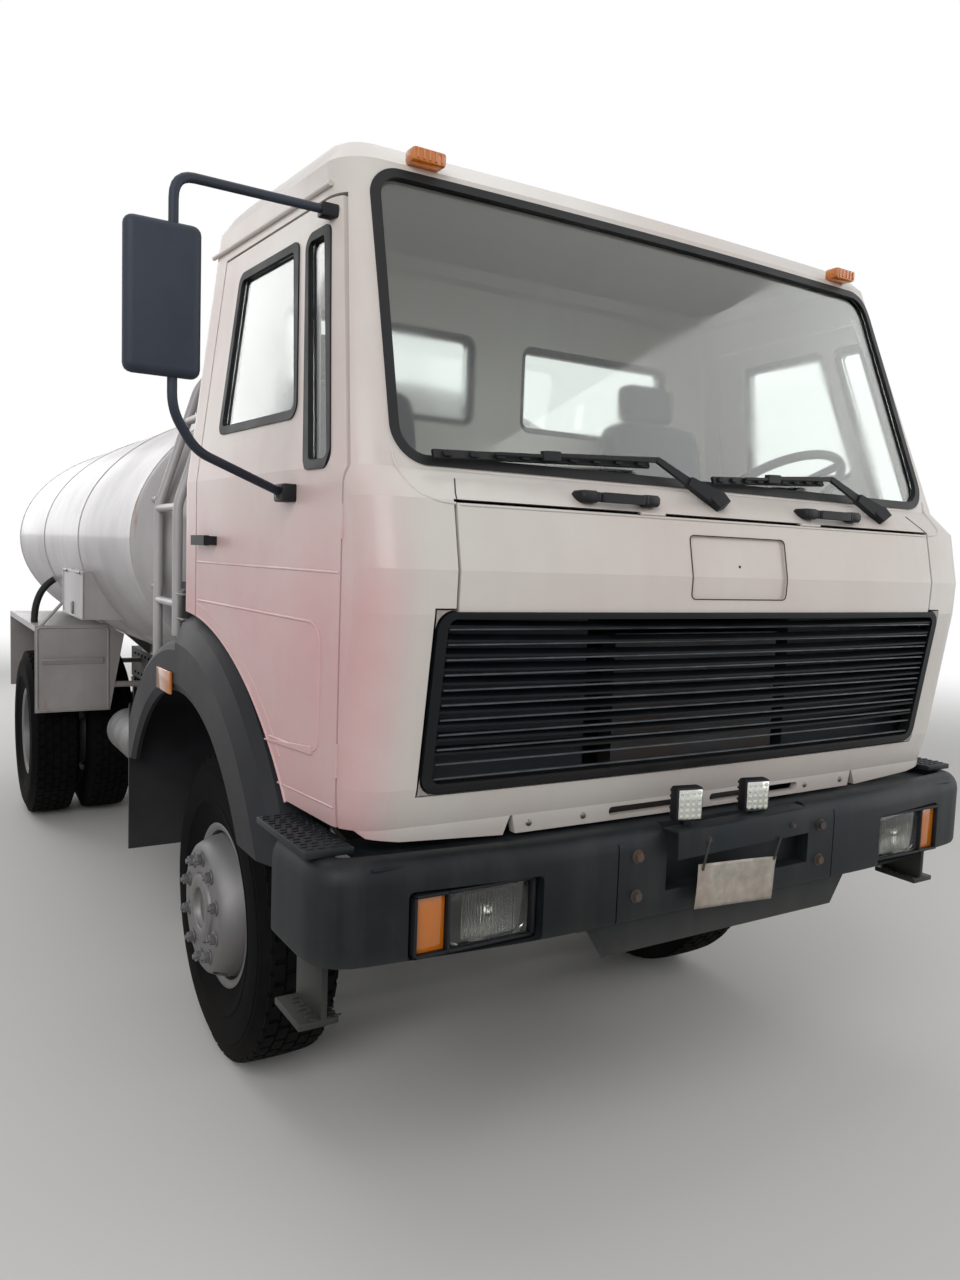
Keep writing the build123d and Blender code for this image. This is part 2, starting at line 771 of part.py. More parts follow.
def rim(x):
    """Steel rim about the X axis."""
    edge = rim_half_width + rim_flange
    half = [(rim_half_width, bead_radius - fit_gap), (rim_half_width, rim_flange_radius),
            (edge, rim_flange_radius), (edge, 262.0), (edge - 8, rim_bore_radius)]
    profile = [(x + u, r) for u, r in half] + [(x - u, r) for u, r in reversed(half)]
    return ring_x(profile, (0, 0, 0))


def disc(face_x, out):
    """Dished wheel disc: its mounting face at face_x, the bowl rising towards the rim."""
    profile = [(0, 118), (disc_thickness, 118), (disc_thickness, 192), (0, 216), (-60, 238),
               (-118, rim_bore_radius + 1), (-134, rim_bore_radius + 1), (-74, 228),
               (-14, 206), (0, 184)]
    return ring_x([(face_x + out * u, r) for u, r in profile], (0, 0, 0))


def nuts(face_x):
    """Ring of wheel nuts with the stud ends standing out of them."""
    solids = []
    for i in range(stud_count):
        angle = 2 * pi * (i + 0.5) / stud_count
        spot = Pos(face_x, stud_circle_radius * cos(angle), stud_circle_radius * sin(angle))
        nut = spot * extrude(Plane.YZ * RegularPolygon(nut_radius, 6), 20)
        stud = spot * extrude(Plane.YZ * Circle(stud_radius), 31)
        solids.append(nut + stud)
    return solids


def wheel_front():
    """Front wheel: rim, outward disc, hub and brake drum."""
    x = front_wheel_x
    face = x + disc_offset
    body = fuse(rim(x), disc(face, 1))
    for angle in (240, 60):
        vent = Rot(angle - 90, 0, 0) * Pos(face - 30, 0, 0) * Cylinder(22, 400, align=(
            Align.CENTER, Align.CENTER, Align.MIN))
        body = body - vent
    bore = spindle_radius + running_fit
    hub = ring_x([(x - 66, bore), (x - 66, 100), (face - 30, 100), (face - 30, 200), (face, 200),
                  (face, 117), (face + 10, 117), (face + 10, 66), (face + 2, 60), (face + 2, 0),
                  (face - 10, 0), (face - 10, bore)], (0, 0, 0))
    drum = ring_x([(x - 67, drum_radius - 14), (x - 67, drum_radius), (x + 57, drum_radius),
                   (x + 57, 95), (x + 43, 95), (x + 43, drum_radius - 14)], (0, 0, 0))
    body = fuse(body, hub, drum, *nuts(face + disc_thickness))
    return Pos(0, 0, tyre_radius) * body


def wheels_rear():
    """Rear twin wheels: two dished wheels back to back on one hub."""
    outer, inner = rear_outer_wheel_x, rear_outer_wheel_x - dual_spacing
    face = outer - disc_offset
    body = fuse(rim(outer), rim(inner), disc(face, -1), disc(face, 1))
    bore = spindle_radius + running_fit
    hub = ring_x([(inner - 60, bore), (inner - 60, 90), (face - 44, 90), (face - 44, 200),
                  (face - disc_thickness, 200), (face - disc_thickness, 117), (face + 40, 117),
                  (face + 60, 96), (face + 172, 84), (face + 178, 76), (face + 178, 0),
                  (face + 120, 0), (face + 120, bore)], (0, 0, 0))
    drum = ring_x([(inner - 70, drum_radius - 14), (inner - 70, drum_radius),
                   (face - 30, drum_radius), (face - 30, 85), (face - 44, 85),
                   (face - 44, drum_radius - 14)], (0, 0, 0))
    body = fuse(body, hub, drum, *nuts(face + disc_thickness))
    return Pos(0, wheelbase, tyre_radius) * body


def tyres_rear():
    """Twin tyres of one rear wheel pair."""
    return group(tyre(rear_outer_wheel_x, wheelbase),
                 tyre(rear_outer_wheel_x - dual_spacing, wheelbase))


# Axles and steering

def front_axle():
    """Forged front axle beam with its kingpins and spring seats."""
    half = [(kingpin_x, 560), (610, 560), (500, 490)]
    low = [(480, 405), (590, 470), (kingpin_x, 470)]
    outline = half + [(-x, z) for x, z in reversed(half)] + [(-x, z) for x, z in reversed(low)] + low
    beam = prism_y(outline, -36, 36)
    web_top = [(700, 546), (606, 546), (494, 476)]
    web_low = [(486, 419), (596, 484), (700, 484)]
    pocket = web_top + [(-x, z) for x, z in reversed(web_top)]
    pocket = pocket + [(-x, z) for x, z in reversed(web_low)] + web_low
    beam = beam - prism_y(pocket, -40, -12) - prism_y(pocket, 12, 40)
    for side in (-1, 1):
        x = side * kingpin_x
        boss = upright(x, 0, 470, 560, 42)
        pin = upright(x, 0, 418, 612, kingpin_radius)
        seat = block((side * 370 - 40, side * 370 + 40), (-40, 40), (488, 504.6))
        beam = fuse(beam, boss, pin, seat)
    return beam


def knuckle():
    """Left steering knuckle: two ears, spindle, brake backplate and steering arm."""
    x = kingpin_x
    body = block((x + 48, x + 68), (-46, 46), (424, 606))
    for low, high in ((424, 464), (566, 606)):
        ear = upright(x, 0, low, high, 42) + block((x, x + 60), (-42, 42), (low, high))
        body = body + ear
    body = body + disc_x(x + 64, x + 72, 188, (0, 0, tyre_radius))
    body = body + disc_x(x + 66, front_wheel_x + 145, spindle_radius, (0, 0, tyre_radius))
    arm = block((x - 18, x + 18), (20, steering_arm), (424, 450))
    arm = arm + upright(x, steering_arm, 424, 450, 26)
    arm = arm + upright(x, steering_arm, track_rod_z - 26, 426, ball_radius)
    body = body + arm
    return body - upright(x, 0, 400, 640, kingpin_radius + running_fit)


def track_rod():
    """Track rod between the two steering arms, an eye round each ball stud."""
    bar = disc_x(-kingpin_x + 20, kingpin_x - 20, 17, (0, steering_arm, track_rod_z))
    for side, bore in ((-1, ball_radius + running_fit), (1, ball_radius + 1.0)):
        x = side * kingpin_x
        bar = bar + upright(x, steering_arm, track_rod_z - 17, track_rod_z + 15, 27)
        bar = bar - upright(x, steering_arm, track_rod_z - 40, track_rod_z + 40, bore)
    return bar


def rear_axle():
    """Driven rear axle: tube, differential housing and spring seats."""
    end_x = rear_outer_wheel_x - dual_spacing - 76.0
    tip_x = rear_outer_wheel_x - disc_offset + 110.0
    centre = (0, wheelbase, tyre_radius)
    body = disc_x(-end_x, end_x, axle_tube_radius, centre)
    body = body + disc_x(-tip_x, tip_x, spindle_radius, centre)
    housing = Pos(*centre) * extrude(Plane.XZ * Circle(185), 80, both=True)
    cover = Pos(0, wheelbase + 80, tyre_radius) * scale(Sphere(1), by=(176, 90, 176))
    nose = rod((0, wheelbase - 60, tyre_radius), (0, wheelbase - axle_nose_reach, tyre_radius), 95)
    body = fuse(body, housing, cover, nose)
    for side in (-1, 1):
        x = side * 370
        body = body + block((x - 36, x + 36), (wheelbase - 80, wheelbase + 80), (540, 599.6))
    return body


SPRINGS = (
    # (y_centre, seat_z, leaf_count, half_length, rise, bolt_y, bolt_low_z)
    (0.0, 505.0, 4, 720.0, 97.0, 50.0, 392.0),
    (wheelbase, 600.0, 5, 750.0, 25.0, 92.0, 432.0),
)
leaf_thickness = 12.0
leaf_step = 0.19


def leaf_springs():
    """Leaf springs with their hangers and U-bolts, two at the front and two behind."""
    solids = []
    for y, seat_z, count, half_length, rise, bolt_y, bolt_low in SPRINGS:
        top = seat_z + count * leaf_thickness
        upper = [(k / 5, 0.0) for k in range(-5, 6)]
        # Each leaf is shorter than the one above it, which steps the underside.
        steps = [(1.0 - leaf_step * (i // 2), (i + 1) // 2 * leaf_thickness)
                 for i in range(1, 2 * count)]
        under = steps + [(-t, down) for t, down in reversed(steps)]
        outline = [(y + half_length * t, top + rise * t * t - down) for t, down in upper + under]
        pack = prism_x(outline, 335, 405)
        eye_z = top + rise + 12
        for end in (-1, 1):
            end_y = y + end * half_length
            eye = disc_x(335, 405, 27, (0, end_y, eye_z))
            hanger = prism_x([(end_y - 26, eye_z), (end_y + 26, eye_z), (end_y + 55, 735),
                              (end_y - 55, 735)], 322, 332)
            pin = disc_x(322, 418, 13, (0, end_y, eye_z))
            pack = fuse(pack, eye, hanger, Pos(86, 0, 0) * hanger, pin)
        for end in (-1, 1):
            for x in (326, 414):
                pack = pack + upright(x, y + end * bolt_y, bolt_low, top + 26, 8)
        cap = block((316, 424), (y - bolt_y - 14, y + bolt_y + 14), (top - 4, top + 16))
        low = block((316, 424), (y - bolt_y - 14, y + bolt_y + 14), (bolt_low, bolt_low + 13))
        pack = fuse(pack, cap, low)
        solids.extend(pack.solids())
    return both_sides(group(*solids))


# Chassis

rail_bottom = frame_top - rail_height
beam_half = frame_width / 2 - rail_wall - fit_gap

CROSSMEMBERS = (
    # (y, z_low, z_high)
    (-1120.0, rail_bottom + rail_wall + fit_gap, 790.0),
    (800.0, 780.0, 900.0),
    (1750.0, 780.0, 900.0),
    (2650.0, 780.0, 900.0),
    (3850.0, 780.0, 900.0),
)


underrun_y = 4395.0
engine_rear_y = -160.0
gearbox_rear_y = 640.0

CAB_MOUNTS = (
    # (y_low, y_high, x_low, x_high)
    (-1112.0, -1032.0, 345.0, 470.0),
    (-120.0, -50.0, 345.0, 416.0),
)


def frame():
    """Two channel rails, each with its bumper stay."""
    half = frame_width / 2
    rail = block((half - rail_flange, half), (frame_front_y, frame_rear_y),
                 (rail_bottom, frame_top))
    rail -= block((half - rail_flange - 1, half - rail_wall), (frame_front_y - 1, frame_rear_y + 1),
                  (rail_bottom + rail_wall, frame_top - rail_wall))
    return both_sides(rail + block((326, 386), (-1270, frame_front_y + 20), (800, 940)))


def crossmembers():
    """Pressed crossmembers, each ending on the webs of the rails."""
    beams = []
    for y, z0, z1 in CROSSMEMBERS:
        beam = block((-beam_half, beam_half), (y - 35, y + 35), (z0, z1))
        beams.append(beam - block((60 - beam_half, beam_half - 60), (y - 27, y + 40),
                                  (z0 + 8, z1 - 8)))
    return group(*beams)


def rear_crossmember():
    """Rear crossmember with the two plates of its towing jaw."""
    body = [block((-beam_half, beam_half), (frame_rear_y - 60, frame_rear_y), (762, 940))]
    for z in (806.0, 876.0):
        plate = block((-60, 60), (frame_rear_y - 5, rear_end_y - 40), (z, z + 24))
        body.append(plate + upright(0, rear_end_y - 40, z, z + 24, 40))
    return fuse(*body) - upright(0, rear_end_y - 40, 780, 920, tow_pin_radius)


def cab_mounts():
    """Blocks between the tops of the rails and the cab's floor."""
    return both_sides(group(*[
        block((x0, x1), (y0, y1), (frame_top + fit_gap, footwell_z - fit_gap))
        for y0, y1, x0, x1 in CAB_MOUNTS]))


def underrun_bar():
    """Rear underrun bar on two hangers below the rails."""
    bar = block((-1120, 1120), (underrun_y, underrun_y + 70), (500, 600))
    bar = fillet(bar.edges().filter_by(Axis.X), 16)
    hanger = block((335, 388), (underrun_y - 55, underrun_y - fit_gap),
                   (510, rail_bottom - fit_gap))
    return group(bar, *both_sides(hanger).solids())


def powertrain():
    """Plain engine block with its fan and feet, radiator, gearbox and propeller shaft."""
    engine = fuse(block((-290, 290), (-1040, engine_rear_y), (660, 1000)),
                  block((-330, 330), (-1040, engine_rear_y), (1000, 1440)))
    gearbox = rod((0, -215, 838.9), (0, 60, 790), 240) + rod((0, 40, 790), (0, 700, 713), 150)
    gearbox = gearbox & block((-260, 260), (engine_rear_y + fit_gap, gearbox_rear_y), (400, 1200))
    shaft = rod((0, 600, 722), (0, wheelbase - 285, tyre_radius), 48)
    flange = rod((0, wheelbase - 295, tyre_radius),
                 (0, wheelbase - axle_nose_reach - fit_gap, tyre_radius), 62)
    shaft = (shaft + flange) & block((-80, 80), (gearbox_rear_y + fit_gap, wheelbase), (400, 900))
    radiator = block((-312, 312), (-1174, -1118), (CROSSMEMBERS[0][2] + fit_gap, 1540))
    feet = [block((side * 342 - 42, side * 342 + 42), (y - 45, y + 45), (frame_top + fit_gap, 1010))
            for side in (-1, 1) for y in (-880, -330)]
    fan = rod((0, -1095, 1130), (0, -1035, 1130), 60) + rod((0, -1095, 1130), (0, -1075, 1130), 270)
    return group(fuse(engine, fan, *feet), gearbox, shaft, radiator)


def fuel_tank():
    """Box fuel tank on the left of the frame."""
    box = block((430, 960), (1800, 2620), (470, 900))
    box = fillet(box.edges().filter_by(Axis.Y), 60)
    cap = disc_x(955, 990, 45, (0, 1920, 760))
    stays = [block((390, 432), (y - 30, y + 30), (740, 880)) for y in (1950, 2470)]
    return fuse(box, cap, *stays)


def silencer():
    """Exhaust silencer with its down pipe, left of the frame behind the front wheel."""
    body = rod((640, 900, 660), (640, 1620, 660), 140)
    inlet = rod((640, 780, 660), (640, 905, 660), 45)
    outlet = tube_path([(640, 1600, 660), (640, 1700, 660), (900, 1700, 560)], 50, 38)
    stays = [block((390, 600), (y - 20, y + 20), (745, 785)) for y in (1020, 1500)]
    return fuse(body, inlet, outlet, *stays)


def air_tanks():
    """Two air reservoirs on the right of the frame."""
    solids = []
    for x, z in ((-560, 700), (-830, 700)):
        drum = rod((x, 1560, z), (x, 2380, z), 118)
        solids.append(fillet(drum.edges(), 20))
    stays = [block((-835, -390), (y - 20, y + 20), (800, 836)) for y in (1760, 2180)]
    return fuse(*solids, *stays)


def battery_box():
    """Battery box on the right of the frame."""
    box = block((-960, -430), (860, 1380), (560, 930))
    box = fillet(box.edges().filter_by(Axis.Y), 18)
    lid = block((-968, -424), (852, 1388), (926, 944))
    return fuse(box, lid, block((-432, -390), (930, 990), (740, 880)),
                block((-432, -390), (1250, 1310), (740, 880)))


def air_intake():
    """Black air intake behind the cab's right corner."""
    shape = prism_x([(30, 1400), (30, 1702), (112, 1702), (112, 1612), (425, 1600), (425, 1552),
                     (330, 1460), (330, 1350)], -1070, -830)
    return shape - arch_cylinder(mudguard_radius + fit_gap)


# Tank and its fittings

@lru_cache(maxsize=None)
def tank_form(grow=0.0):
    """Closed tank: a round barrel with dished ends, drawn out into an ellipse."""
    unit, pull = 1000.0, 0.5523
    front, rear = tank_front_y, tank_rear_y
    outline = make_face([
        Bezier((0, front - tank_dish), (pull * unit, front - tank_dish),
               (unit, front - pull * tank_dish), (unit, front)),
        Line((unit, front), (unit, rear)),
        Bezier((unit, rear), (unit, rear + pull * tank_dish), (pull * unit, rear + tank_dish),
               (0, rear + tank_dish)),
        Line((0, rear + tank_dish), (0, front - tank_dish)),
    ])
    barrel = revolve(outline, Axis.Y)
    barrel = scale(barrel, by=((tank_half_width + grow) / unit, 1,
                               (tank_half_height + grow) / unit))
    return Pos(0, 0, tank_centre_z) * barrel


def tank():
    """Solid tank with the manhole collar and its hinge lugs on top."""
    top = tank_centre_z + tank_half_height
    collar = upright(0, manhole_y, top - 60, top + 41, manhole_radius)
    body = tank_form() + (collar - upright(0, manhole_y, top - 1, top + 60, manhole_radius - 18))
    hinge_y = manhole_y + lid_hinge_offset
    for side in (-1, 1):
        lug = block(sorted((side * 32, side * 46)), (hinge_y - 22, hinge_y + 16),
                    (top - 20, lid_hinge_z + 15))
        body = body + lug
    return body + disc_x(-46, 46, lid_pin_radius, (0, hinge_y, lid_hinge_z))


def manhole_lid():
    """Manhole lid with its hinge eye behind and a lifting lug in front."""
    low = tank_centre_z + tank_half_height + 41 + moving_gap
    plate = upright(0, manhole_y, low, low + 12, manhole_radius - 4)
    dome = upright(0, manhole_y, low, low + 24, manhole_radius - 50)
    dome = fillet(dome.edges().group_by(Axis.Z)[-1], 12)
    hinge_y = manhole_y + lid_hinge_offset
    arm = block((-25, 25), (manhole_y + 190, hinge_y), (low, low + 22))
    arm = arm + disc_x(-25, 25, 16, (0, hinge_y, lid_hinge_z))
    front = block((-30, 30), (manhole_y - 268, manhole_y - 200), (low, low + 12))
    lid = fuse(plate, dome, arm, front)
    return lid - disc_x(-60, 60, lid_pin_radius + running_fit, (0, hinge_y, lid_hinge_z))


SADDLES = (
    # (y, half_width)
    (760.0, 900.0),
    (1700.0, 620.0),
    (2700.0, 620.0),
    (3860.0, 620.0),
)


def tank_cradle():
    """Long sills that carry the tank on the frame, with the saddles between and beside them."""
    low, high, top = 330.0, 390.0, 1120.0
    sill = block((low, high), (700, 4060), (frame_top, top)) - tank_form()
    solids = list(both_sides(sill).solids())
    room = both_sides(block((low - fit_gap, high + fit_gap), (600, 4160),
                            (frame_top - 1, top + fit_gap)))
    for y, half in SADDLES:
        saddle = prism_y([(-high, frame_top), (high, frame_top), (half, 1160), (half, 1330),
                          (-half, 1330), (-half, 1160)], y - 30, y + 30)
        for notch in room.solids():
            saddle = saddle - notch
        solids.extend((saddle - tank_form()).solids())
    return group(*solids)


def side_locker():
    """Sheet-metal box on the tank's lower right flank."""
    return block((-1195, -960), (1600, 2180), (1370, 1592)) - tank_form()


LADDER_RAILS = (
    # (y, foot_z)
    (225.0, 1420.0),
    (500.0, 1302.0),
)
LADDER_RUNGS = (
    # (x, z)
    (-1114.0, 1530.0),
    (-1114.0, 1865.0),
    (-1012.0, 2190.0),
    (-884.0, 2432.0),
)


def ladder():
    """Tubular ladder to the top of the tank, on its right front corner."""
    parts = []
    for y, foot_z in LADDER_RAILS:
        parts.append(tube_path([(ladder_x, y, foot_z), (ladder_x, y, 1870), (-975, y, 2310),
                                (-880, y, 2440)], 160, 17))
    for x, z in LADDER_RUNGS:
        parts.append(rod((x, 225, z), (x, 500, z), 14))
    for z in (1580.0, 1900.0):
        parts.append(rod((ladder_x, 500, z), (ladder_x, 640, z), 12))
    parts.append(rod((-975, 500, 2310), (-890, 780, 2170), 12))
    return fuse(*parts) - tank_form()


def rear_mudguards():
    """Boxy sheet mudguards over the twin wheels, with their stays."""
    low, high, front_y, end_y = 730.0, mudguard_top_z, 2870.0, 4150.0
    sheet = prism_x([(front_y, low), (front_y, high), (end_y, high), (end_y, low),
                     (end_y - 6, low), (end_y - 6, high - 6), (front_y + 6, high - 6),
                     (front_y + 6, low)], 752, rear_half_width)
    lip = block((rear_half_width - 6, rear_half_width), (front_y, end_y), (high - 34, high))
    corner = prism_y([(740, low - 1), (837, low - 1), (752, high - 30), (740, high - 30)],
                     front_y - 10, end_y + 10)
    stays = [disc_x(390.2, 1180, 18, (0, y, 880)) for y in (front_y + 23, end_y - 23)]
    sheet = (sheet + lip - corner) - tank_form(6.0)
    brace = rod((1214, front_y + 20, high - 2), (1066, front_y + 20, 1412), 9)
    return both_sides(fuse(sheet, *stays, brace))


def tail_lamps():
    """Tail lamps on the rear underrun bar."""
    lamp = block((930, 1100), (4465, rear_end_y), (508, 592))
    return both_sides(fillet(lamp.edges().filter_by(Axis.Y), 12))


def discharge_pipe():
    """Discharge pipe from the tank's sump to the rear coupling, with its gate valve."""
    sump_z = tank_centre_z - tank_half_height - fit_gap
    pipe = tube_path([(0, 3960, sump_z), (0, 3960, 690), (0, 4430, 690)], 110, 50)
    valve = fuse(rod((0, 4170, 690), (0, 4235, 690), 72), rod((0, 4202, 690), (0, 4202, 822), 14),
                 Pos(0, 4202, 820) * Torus(58, 9), rod((-58, 4202, 820), (58, 4202, 820), 7))
    coupling = rod((0, 4420, 690), (0, rear_end_y, 690), 68)
    pipe = fuse(pipe, valve, coupling)
    pipe = pipe - rod((0, rear_end_y - coupling_depth, 690), (0, rear_end_y + 1, 690),
                      coupling_bore_radius)
    return pipe


def hose():
    """Black rubber hose from the tank's flank down to the right mudguard's top."""
    hose_path = [(-1100, 3120, 1507), (-1222, 3120, 1433), (-1222, 3120, mudguard_top_z + fit_gap)]
    return tube_path(hose_path, 160, 20) - tank_form()


def write(name, shape):
    """Save one node in the part's own frame."""
    place = Pos(frame_x, frame_y, 0)
    export_step(group(*[place * solid for solid in shape.solids()]), f"parts/{name}.step")


if __name__ == "__main__":
    os.makedirs("parts", exist_ok=True)
    write("cab_shell", cab_shell())
    for name, side in (("right", -1), ("left", 1)):
        write(f"door_{name}_panel", door_panel(side))
        write(f"door_{name}_trim", door_trim(side))
        write(f"door_{name}_glass", door_glass(side))
    write("mirror_right", mirror_right())
    write("windscreen", windscreen())
    write("window_seals", window_seals())
    write("rear_windows", rear_windows())
    write("cab_floor", cab_floor())
    write("dashboard", dashboard())
    write("steering_wheel", steering_wheel())
    write("seats", seats())
    write("flap_panel", flap_panel())
    write("grille", grille())
    write("bumper", bumper())
    write("headlamps", headlamps())
    write("amber_lamps", amber_lamps())
    write("flares", flares())
    write("wipers", wipers())
    write("grab_handles", grab_handles())
    write("work_lamps", work_lamps())
    front_tyre, front_wheel = tyre(front_wheel_x, 0), wheel_front()
    write("tyre_front_left", front_tyre)
    write("wheel_front_left", front_wheel)
    write("tyre_front_right", mirrored(front_tyre))
    write("wheel_front_right", mirrored(front_wheel))
    twin_tyres, twin_wheels = tyres_rear(), wheels_rear()
    write("tyres_rear_left", twin_tyres)
    write("wheels_rear_left", twin_wheels)
    write("tyres_rear_right", mirrored(twin_tyres))
    write("wheels_rear_right", mirrored(twin_wheels))
    upright_left = knuckle()
    write("knuckle_left", upright_left)
    write("knuckle_right", mirrored(upright_left))
    write("track_rod", track_rod())
    write("front_axle", front_axle())
    write("rear_axle", rear_axle())
    write("leaf_springs", leaf_springs())
    write("frame", frame())
    write("crossmembers", crossmembers())
    write("rear_crossmember", rear_crossmember())
    write("cab_mounts", cab_mounts())
    write("underrun_bar", underrun_bar())
    write("powertrain", powertrain())
    write("fuel_tank", fuel_tank())
    write("silencer", silencer())
    write("air_tanks", air_tanks())
    write("battery_box", battery_box())
    write("air_intake", air_intake())
    write("tank", tank())
    write("manhole_lid", manhole_lid())
    write("tank_cradle", tank_cradle())
    write("side_locker", side_locker())
    write("ladder", ladder())
    write("rear_mudguards", rear_mudguards())
    write("tail_lamps", tail_lamps())
    write("discharge_pipe", discharge_pipe())
    write("hose", hose())
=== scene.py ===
"""Looks of a two-axle tanker truck: finishes for its solids, and the detail that they leave out.

The frame is in metres, +Z up, the front of the truck to -Y and its left side to +X.
Places are written in millimetres from the middle of the front axle, at ground level.
"""

import math
from collections import namedtuple

import bmesh
import bpy
from mathutils import Matrix, Vector


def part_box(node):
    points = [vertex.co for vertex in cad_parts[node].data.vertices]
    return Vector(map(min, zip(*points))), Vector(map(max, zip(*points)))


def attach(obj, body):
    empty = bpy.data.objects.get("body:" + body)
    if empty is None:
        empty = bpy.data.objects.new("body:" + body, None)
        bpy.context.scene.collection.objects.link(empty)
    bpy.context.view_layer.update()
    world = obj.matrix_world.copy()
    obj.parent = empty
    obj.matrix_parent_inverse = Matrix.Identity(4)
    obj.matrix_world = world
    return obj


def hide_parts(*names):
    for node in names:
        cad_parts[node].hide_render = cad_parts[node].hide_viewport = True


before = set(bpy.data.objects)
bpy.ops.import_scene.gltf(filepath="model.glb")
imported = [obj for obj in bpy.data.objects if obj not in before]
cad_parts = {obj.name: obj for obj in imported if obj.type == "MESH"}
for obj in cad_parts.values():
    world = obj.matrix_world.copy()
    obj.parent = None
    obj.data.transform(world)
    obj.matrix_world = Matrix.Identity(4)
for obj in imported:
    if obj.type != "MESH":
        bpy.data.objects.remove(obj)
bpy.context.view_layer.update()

bl_info = {
    "name": "Tanker Truck Looks",
    "version": (1, 0, 0),
    "blender": (4, 5, 0),
    "location": "3D View > Sidebar > Tanker",
    "description": "Builds the finishes and fine detail of a small tanker truck",
    "category": "Add Mesh",
}

# Places taken from the frame
TANK_LOW, TANK_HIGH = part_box("tank")
HUB_LOW, HUB_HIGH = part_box("wheel_front_left")
REAR_LOW, REAR_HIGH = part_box("wheels_rear_left")
CENTRE_X = (TANK_LOW.x + TANK_HIGH.x) / 2
AXLE_Y = (HUB_LOW.y + HUB_HIGH.y) / 2
WHEELBASE = (REAR_LOW.y + REAR_HIGH.y) / 2 - AXLE_Y
WHEEL_Z = (HUB_LOW.z + HUB_HIGH.z) / 2
MM = 0.001


def at(x, y, z):
    """Point from millimetres off the middle of the front axle at ground level."""
    return Vector((CENTRE_X + x * MM, AXLE_Y + y * MM, z * MM))


def linear(code):
    """Linear colour with alpha from an sRGB hex value."""
    parts = [int(code[i:i + 2], 16) / 255 for i in (1, 3, 5)]
    return tuple(c / 12.92 if c <= 0.04045 else ((c + 0.055) / 1.055) ** 2.4 for c in parts) + (1.0,)


# Settings a user would change

class TruckSizes(bpy.types.PropertyGroup):
    """Sizes of the detail that is added round the solids."""

    tread_depth: bpy.props.FloatProperty(
        name="Tread Depth", description="Depth of the tyre's grooves", default=0.011, unit="LENGTH")
    tread_blocks: bpy.props.IntProperty(
        name="Tread Blocks", description="Blocks round one rib of a tyre", default=45, min=12)
    nut_width: bpy.props.FloatProperty(
        name="Wheel Nut Width", description="Width of a wheel nut across its corners",
        default=0.038, unit="LENGTH")
    bolt_width: bpy.props.FloatProperty(
        name="Bolt Width", description="Width of a chassis bolt's head", default=0.022,
        unit="LENGTH")
    bead_height: bpy.props.FloatProperty(
        name="Panel Bead Height", description="How far a pressed line stands off the cab's side",
        default=0.004, unit="LENGTH")
    lens_rib: bpy.props.FloatProperty(
        name="Lens Rib Pitch", description="Spacing of the upright ribs in a lamp glass",
        default=0.0085, unit="LENGTH")
    # Height of the pale strip on each louvre's front edge, a painted highlight
    louvre_edge: bpy.props.FloatProperty(
        name="Louvre Edge", description="Height of the worn front edge of a grille louvre",
        default=0.006, unit="LENGTH")
    seam_width: bpy.props.FloatProperty(
        name="Weld Seam Width", description="Width of the tank's weld seams", default=0.014,
        unit="LENGTH")


class TruckColours(bpy.types.PropertyGroup):
    """Base colours of the finishes."""

    cab: bpy.props.FloatVectorProperty(
        name="Cab Enamel", description="Sprayed enamel of the cab", size=4, subtype="COLOR",
        default=linear("#CFCBC5"))
    # Grey below the white enamel: the enamel's colour darkened with painted shade of the tank's shaded
    # flank
    tank: bpy.props.FloatVectorProperty(
        name="Tank Enamel And Shade", description="Sprayed enamel of the tank", size=4, subtype="COLOR",
        default=linear("#B5B2B3"))
    chassis: bpy.props.FloatVectorProperty(
        name="Chassis Enamel", description="Black enamel of the frame", size=4, subtype="COLOR",
        default=linear("#1A1A1D"))
    wheel: bpy.props.FloatVectorProperty(
        name="Wheel Silver", description="Silver paint of the wheels", size=4, subtype="COLOR",
        default=linear("#77777A"))
    bumper: bpy.props.FloatVectorProperty(
        name="Bumper Enamel", description="Worn black paint of the bumper", size=4,
        subtype="COLOR", default=linear("#0F1316"))
    amber: bpy.props.FloatVectorProperty(
        name="Amber Lens", description="Amber acrylic of the indicators", size=4,
        subtype="COLOR", default=linear("#DA7D16"))
    red: bpy.props.FloatVectorProperty(
        name="Red Lens", description="Red acrylic of the tail lamps", size=4, subtype="COLOR",
        default=linear("#A8141A"))
    cloth: bpy.props.FloatVectorProperty(
        name="Seat Cloth", description="Woven cloth of the seats", size=4, subtype="COLOR",
        default=linear("#4A4C55"))


def sizes():
    """The size settings of the scene."""
    return bpy.context.scene.truck_sizes


def colours():
    """The colour settings of the scene."""
    return bpy.context.scene.truck_colours


# Finishes

def add(tree, kind, settings=None, inputs=None):
    """Add one node, with its own settings and its input values or links."""
    made = tree.nodes.new(kind)
    for name, value in (settings or {}).items():
        setattr(made, name, value)
    for key, value in (inputs or {}).items():
        if isinstance(value, bpy.types.NodeSocket):
            tree.links.new(value, made.inputs[key])
        else:
            made.inputs[key].default_value = value
    return made


def new_finish(name, **values):
    """Material with its shader's own sockets set; returns it, its tree and its shader."""
    material = bpy.data.materials.new(name)
    material.use_nodes = True
    tree = material.node_tree
    shader = tree.nodes["Principled BSDF"]
    for key, value in values.items():
        shader.inputs[key.replace("_", " ")].default_value = value
    return material, tree, shader


def object_place(tree, scale=(1.0, 1.0, 1.0)):
    """Object coordinates, stretched along the axes."""
    coordinates = add(tree, "ShaderNodeTexCoord").outputs["Object"]
    return add(tree, "ShaderNodeMapping", {}, {"Vector": coordinates, "Scale": scale}).outputs[0]


def colour_of(value):
    """Linear colour from an sRGB hex value, or from the colour setting of that name."""
    return linear(value) if value.startswith("#") else tuple(getattr(colours(), value))


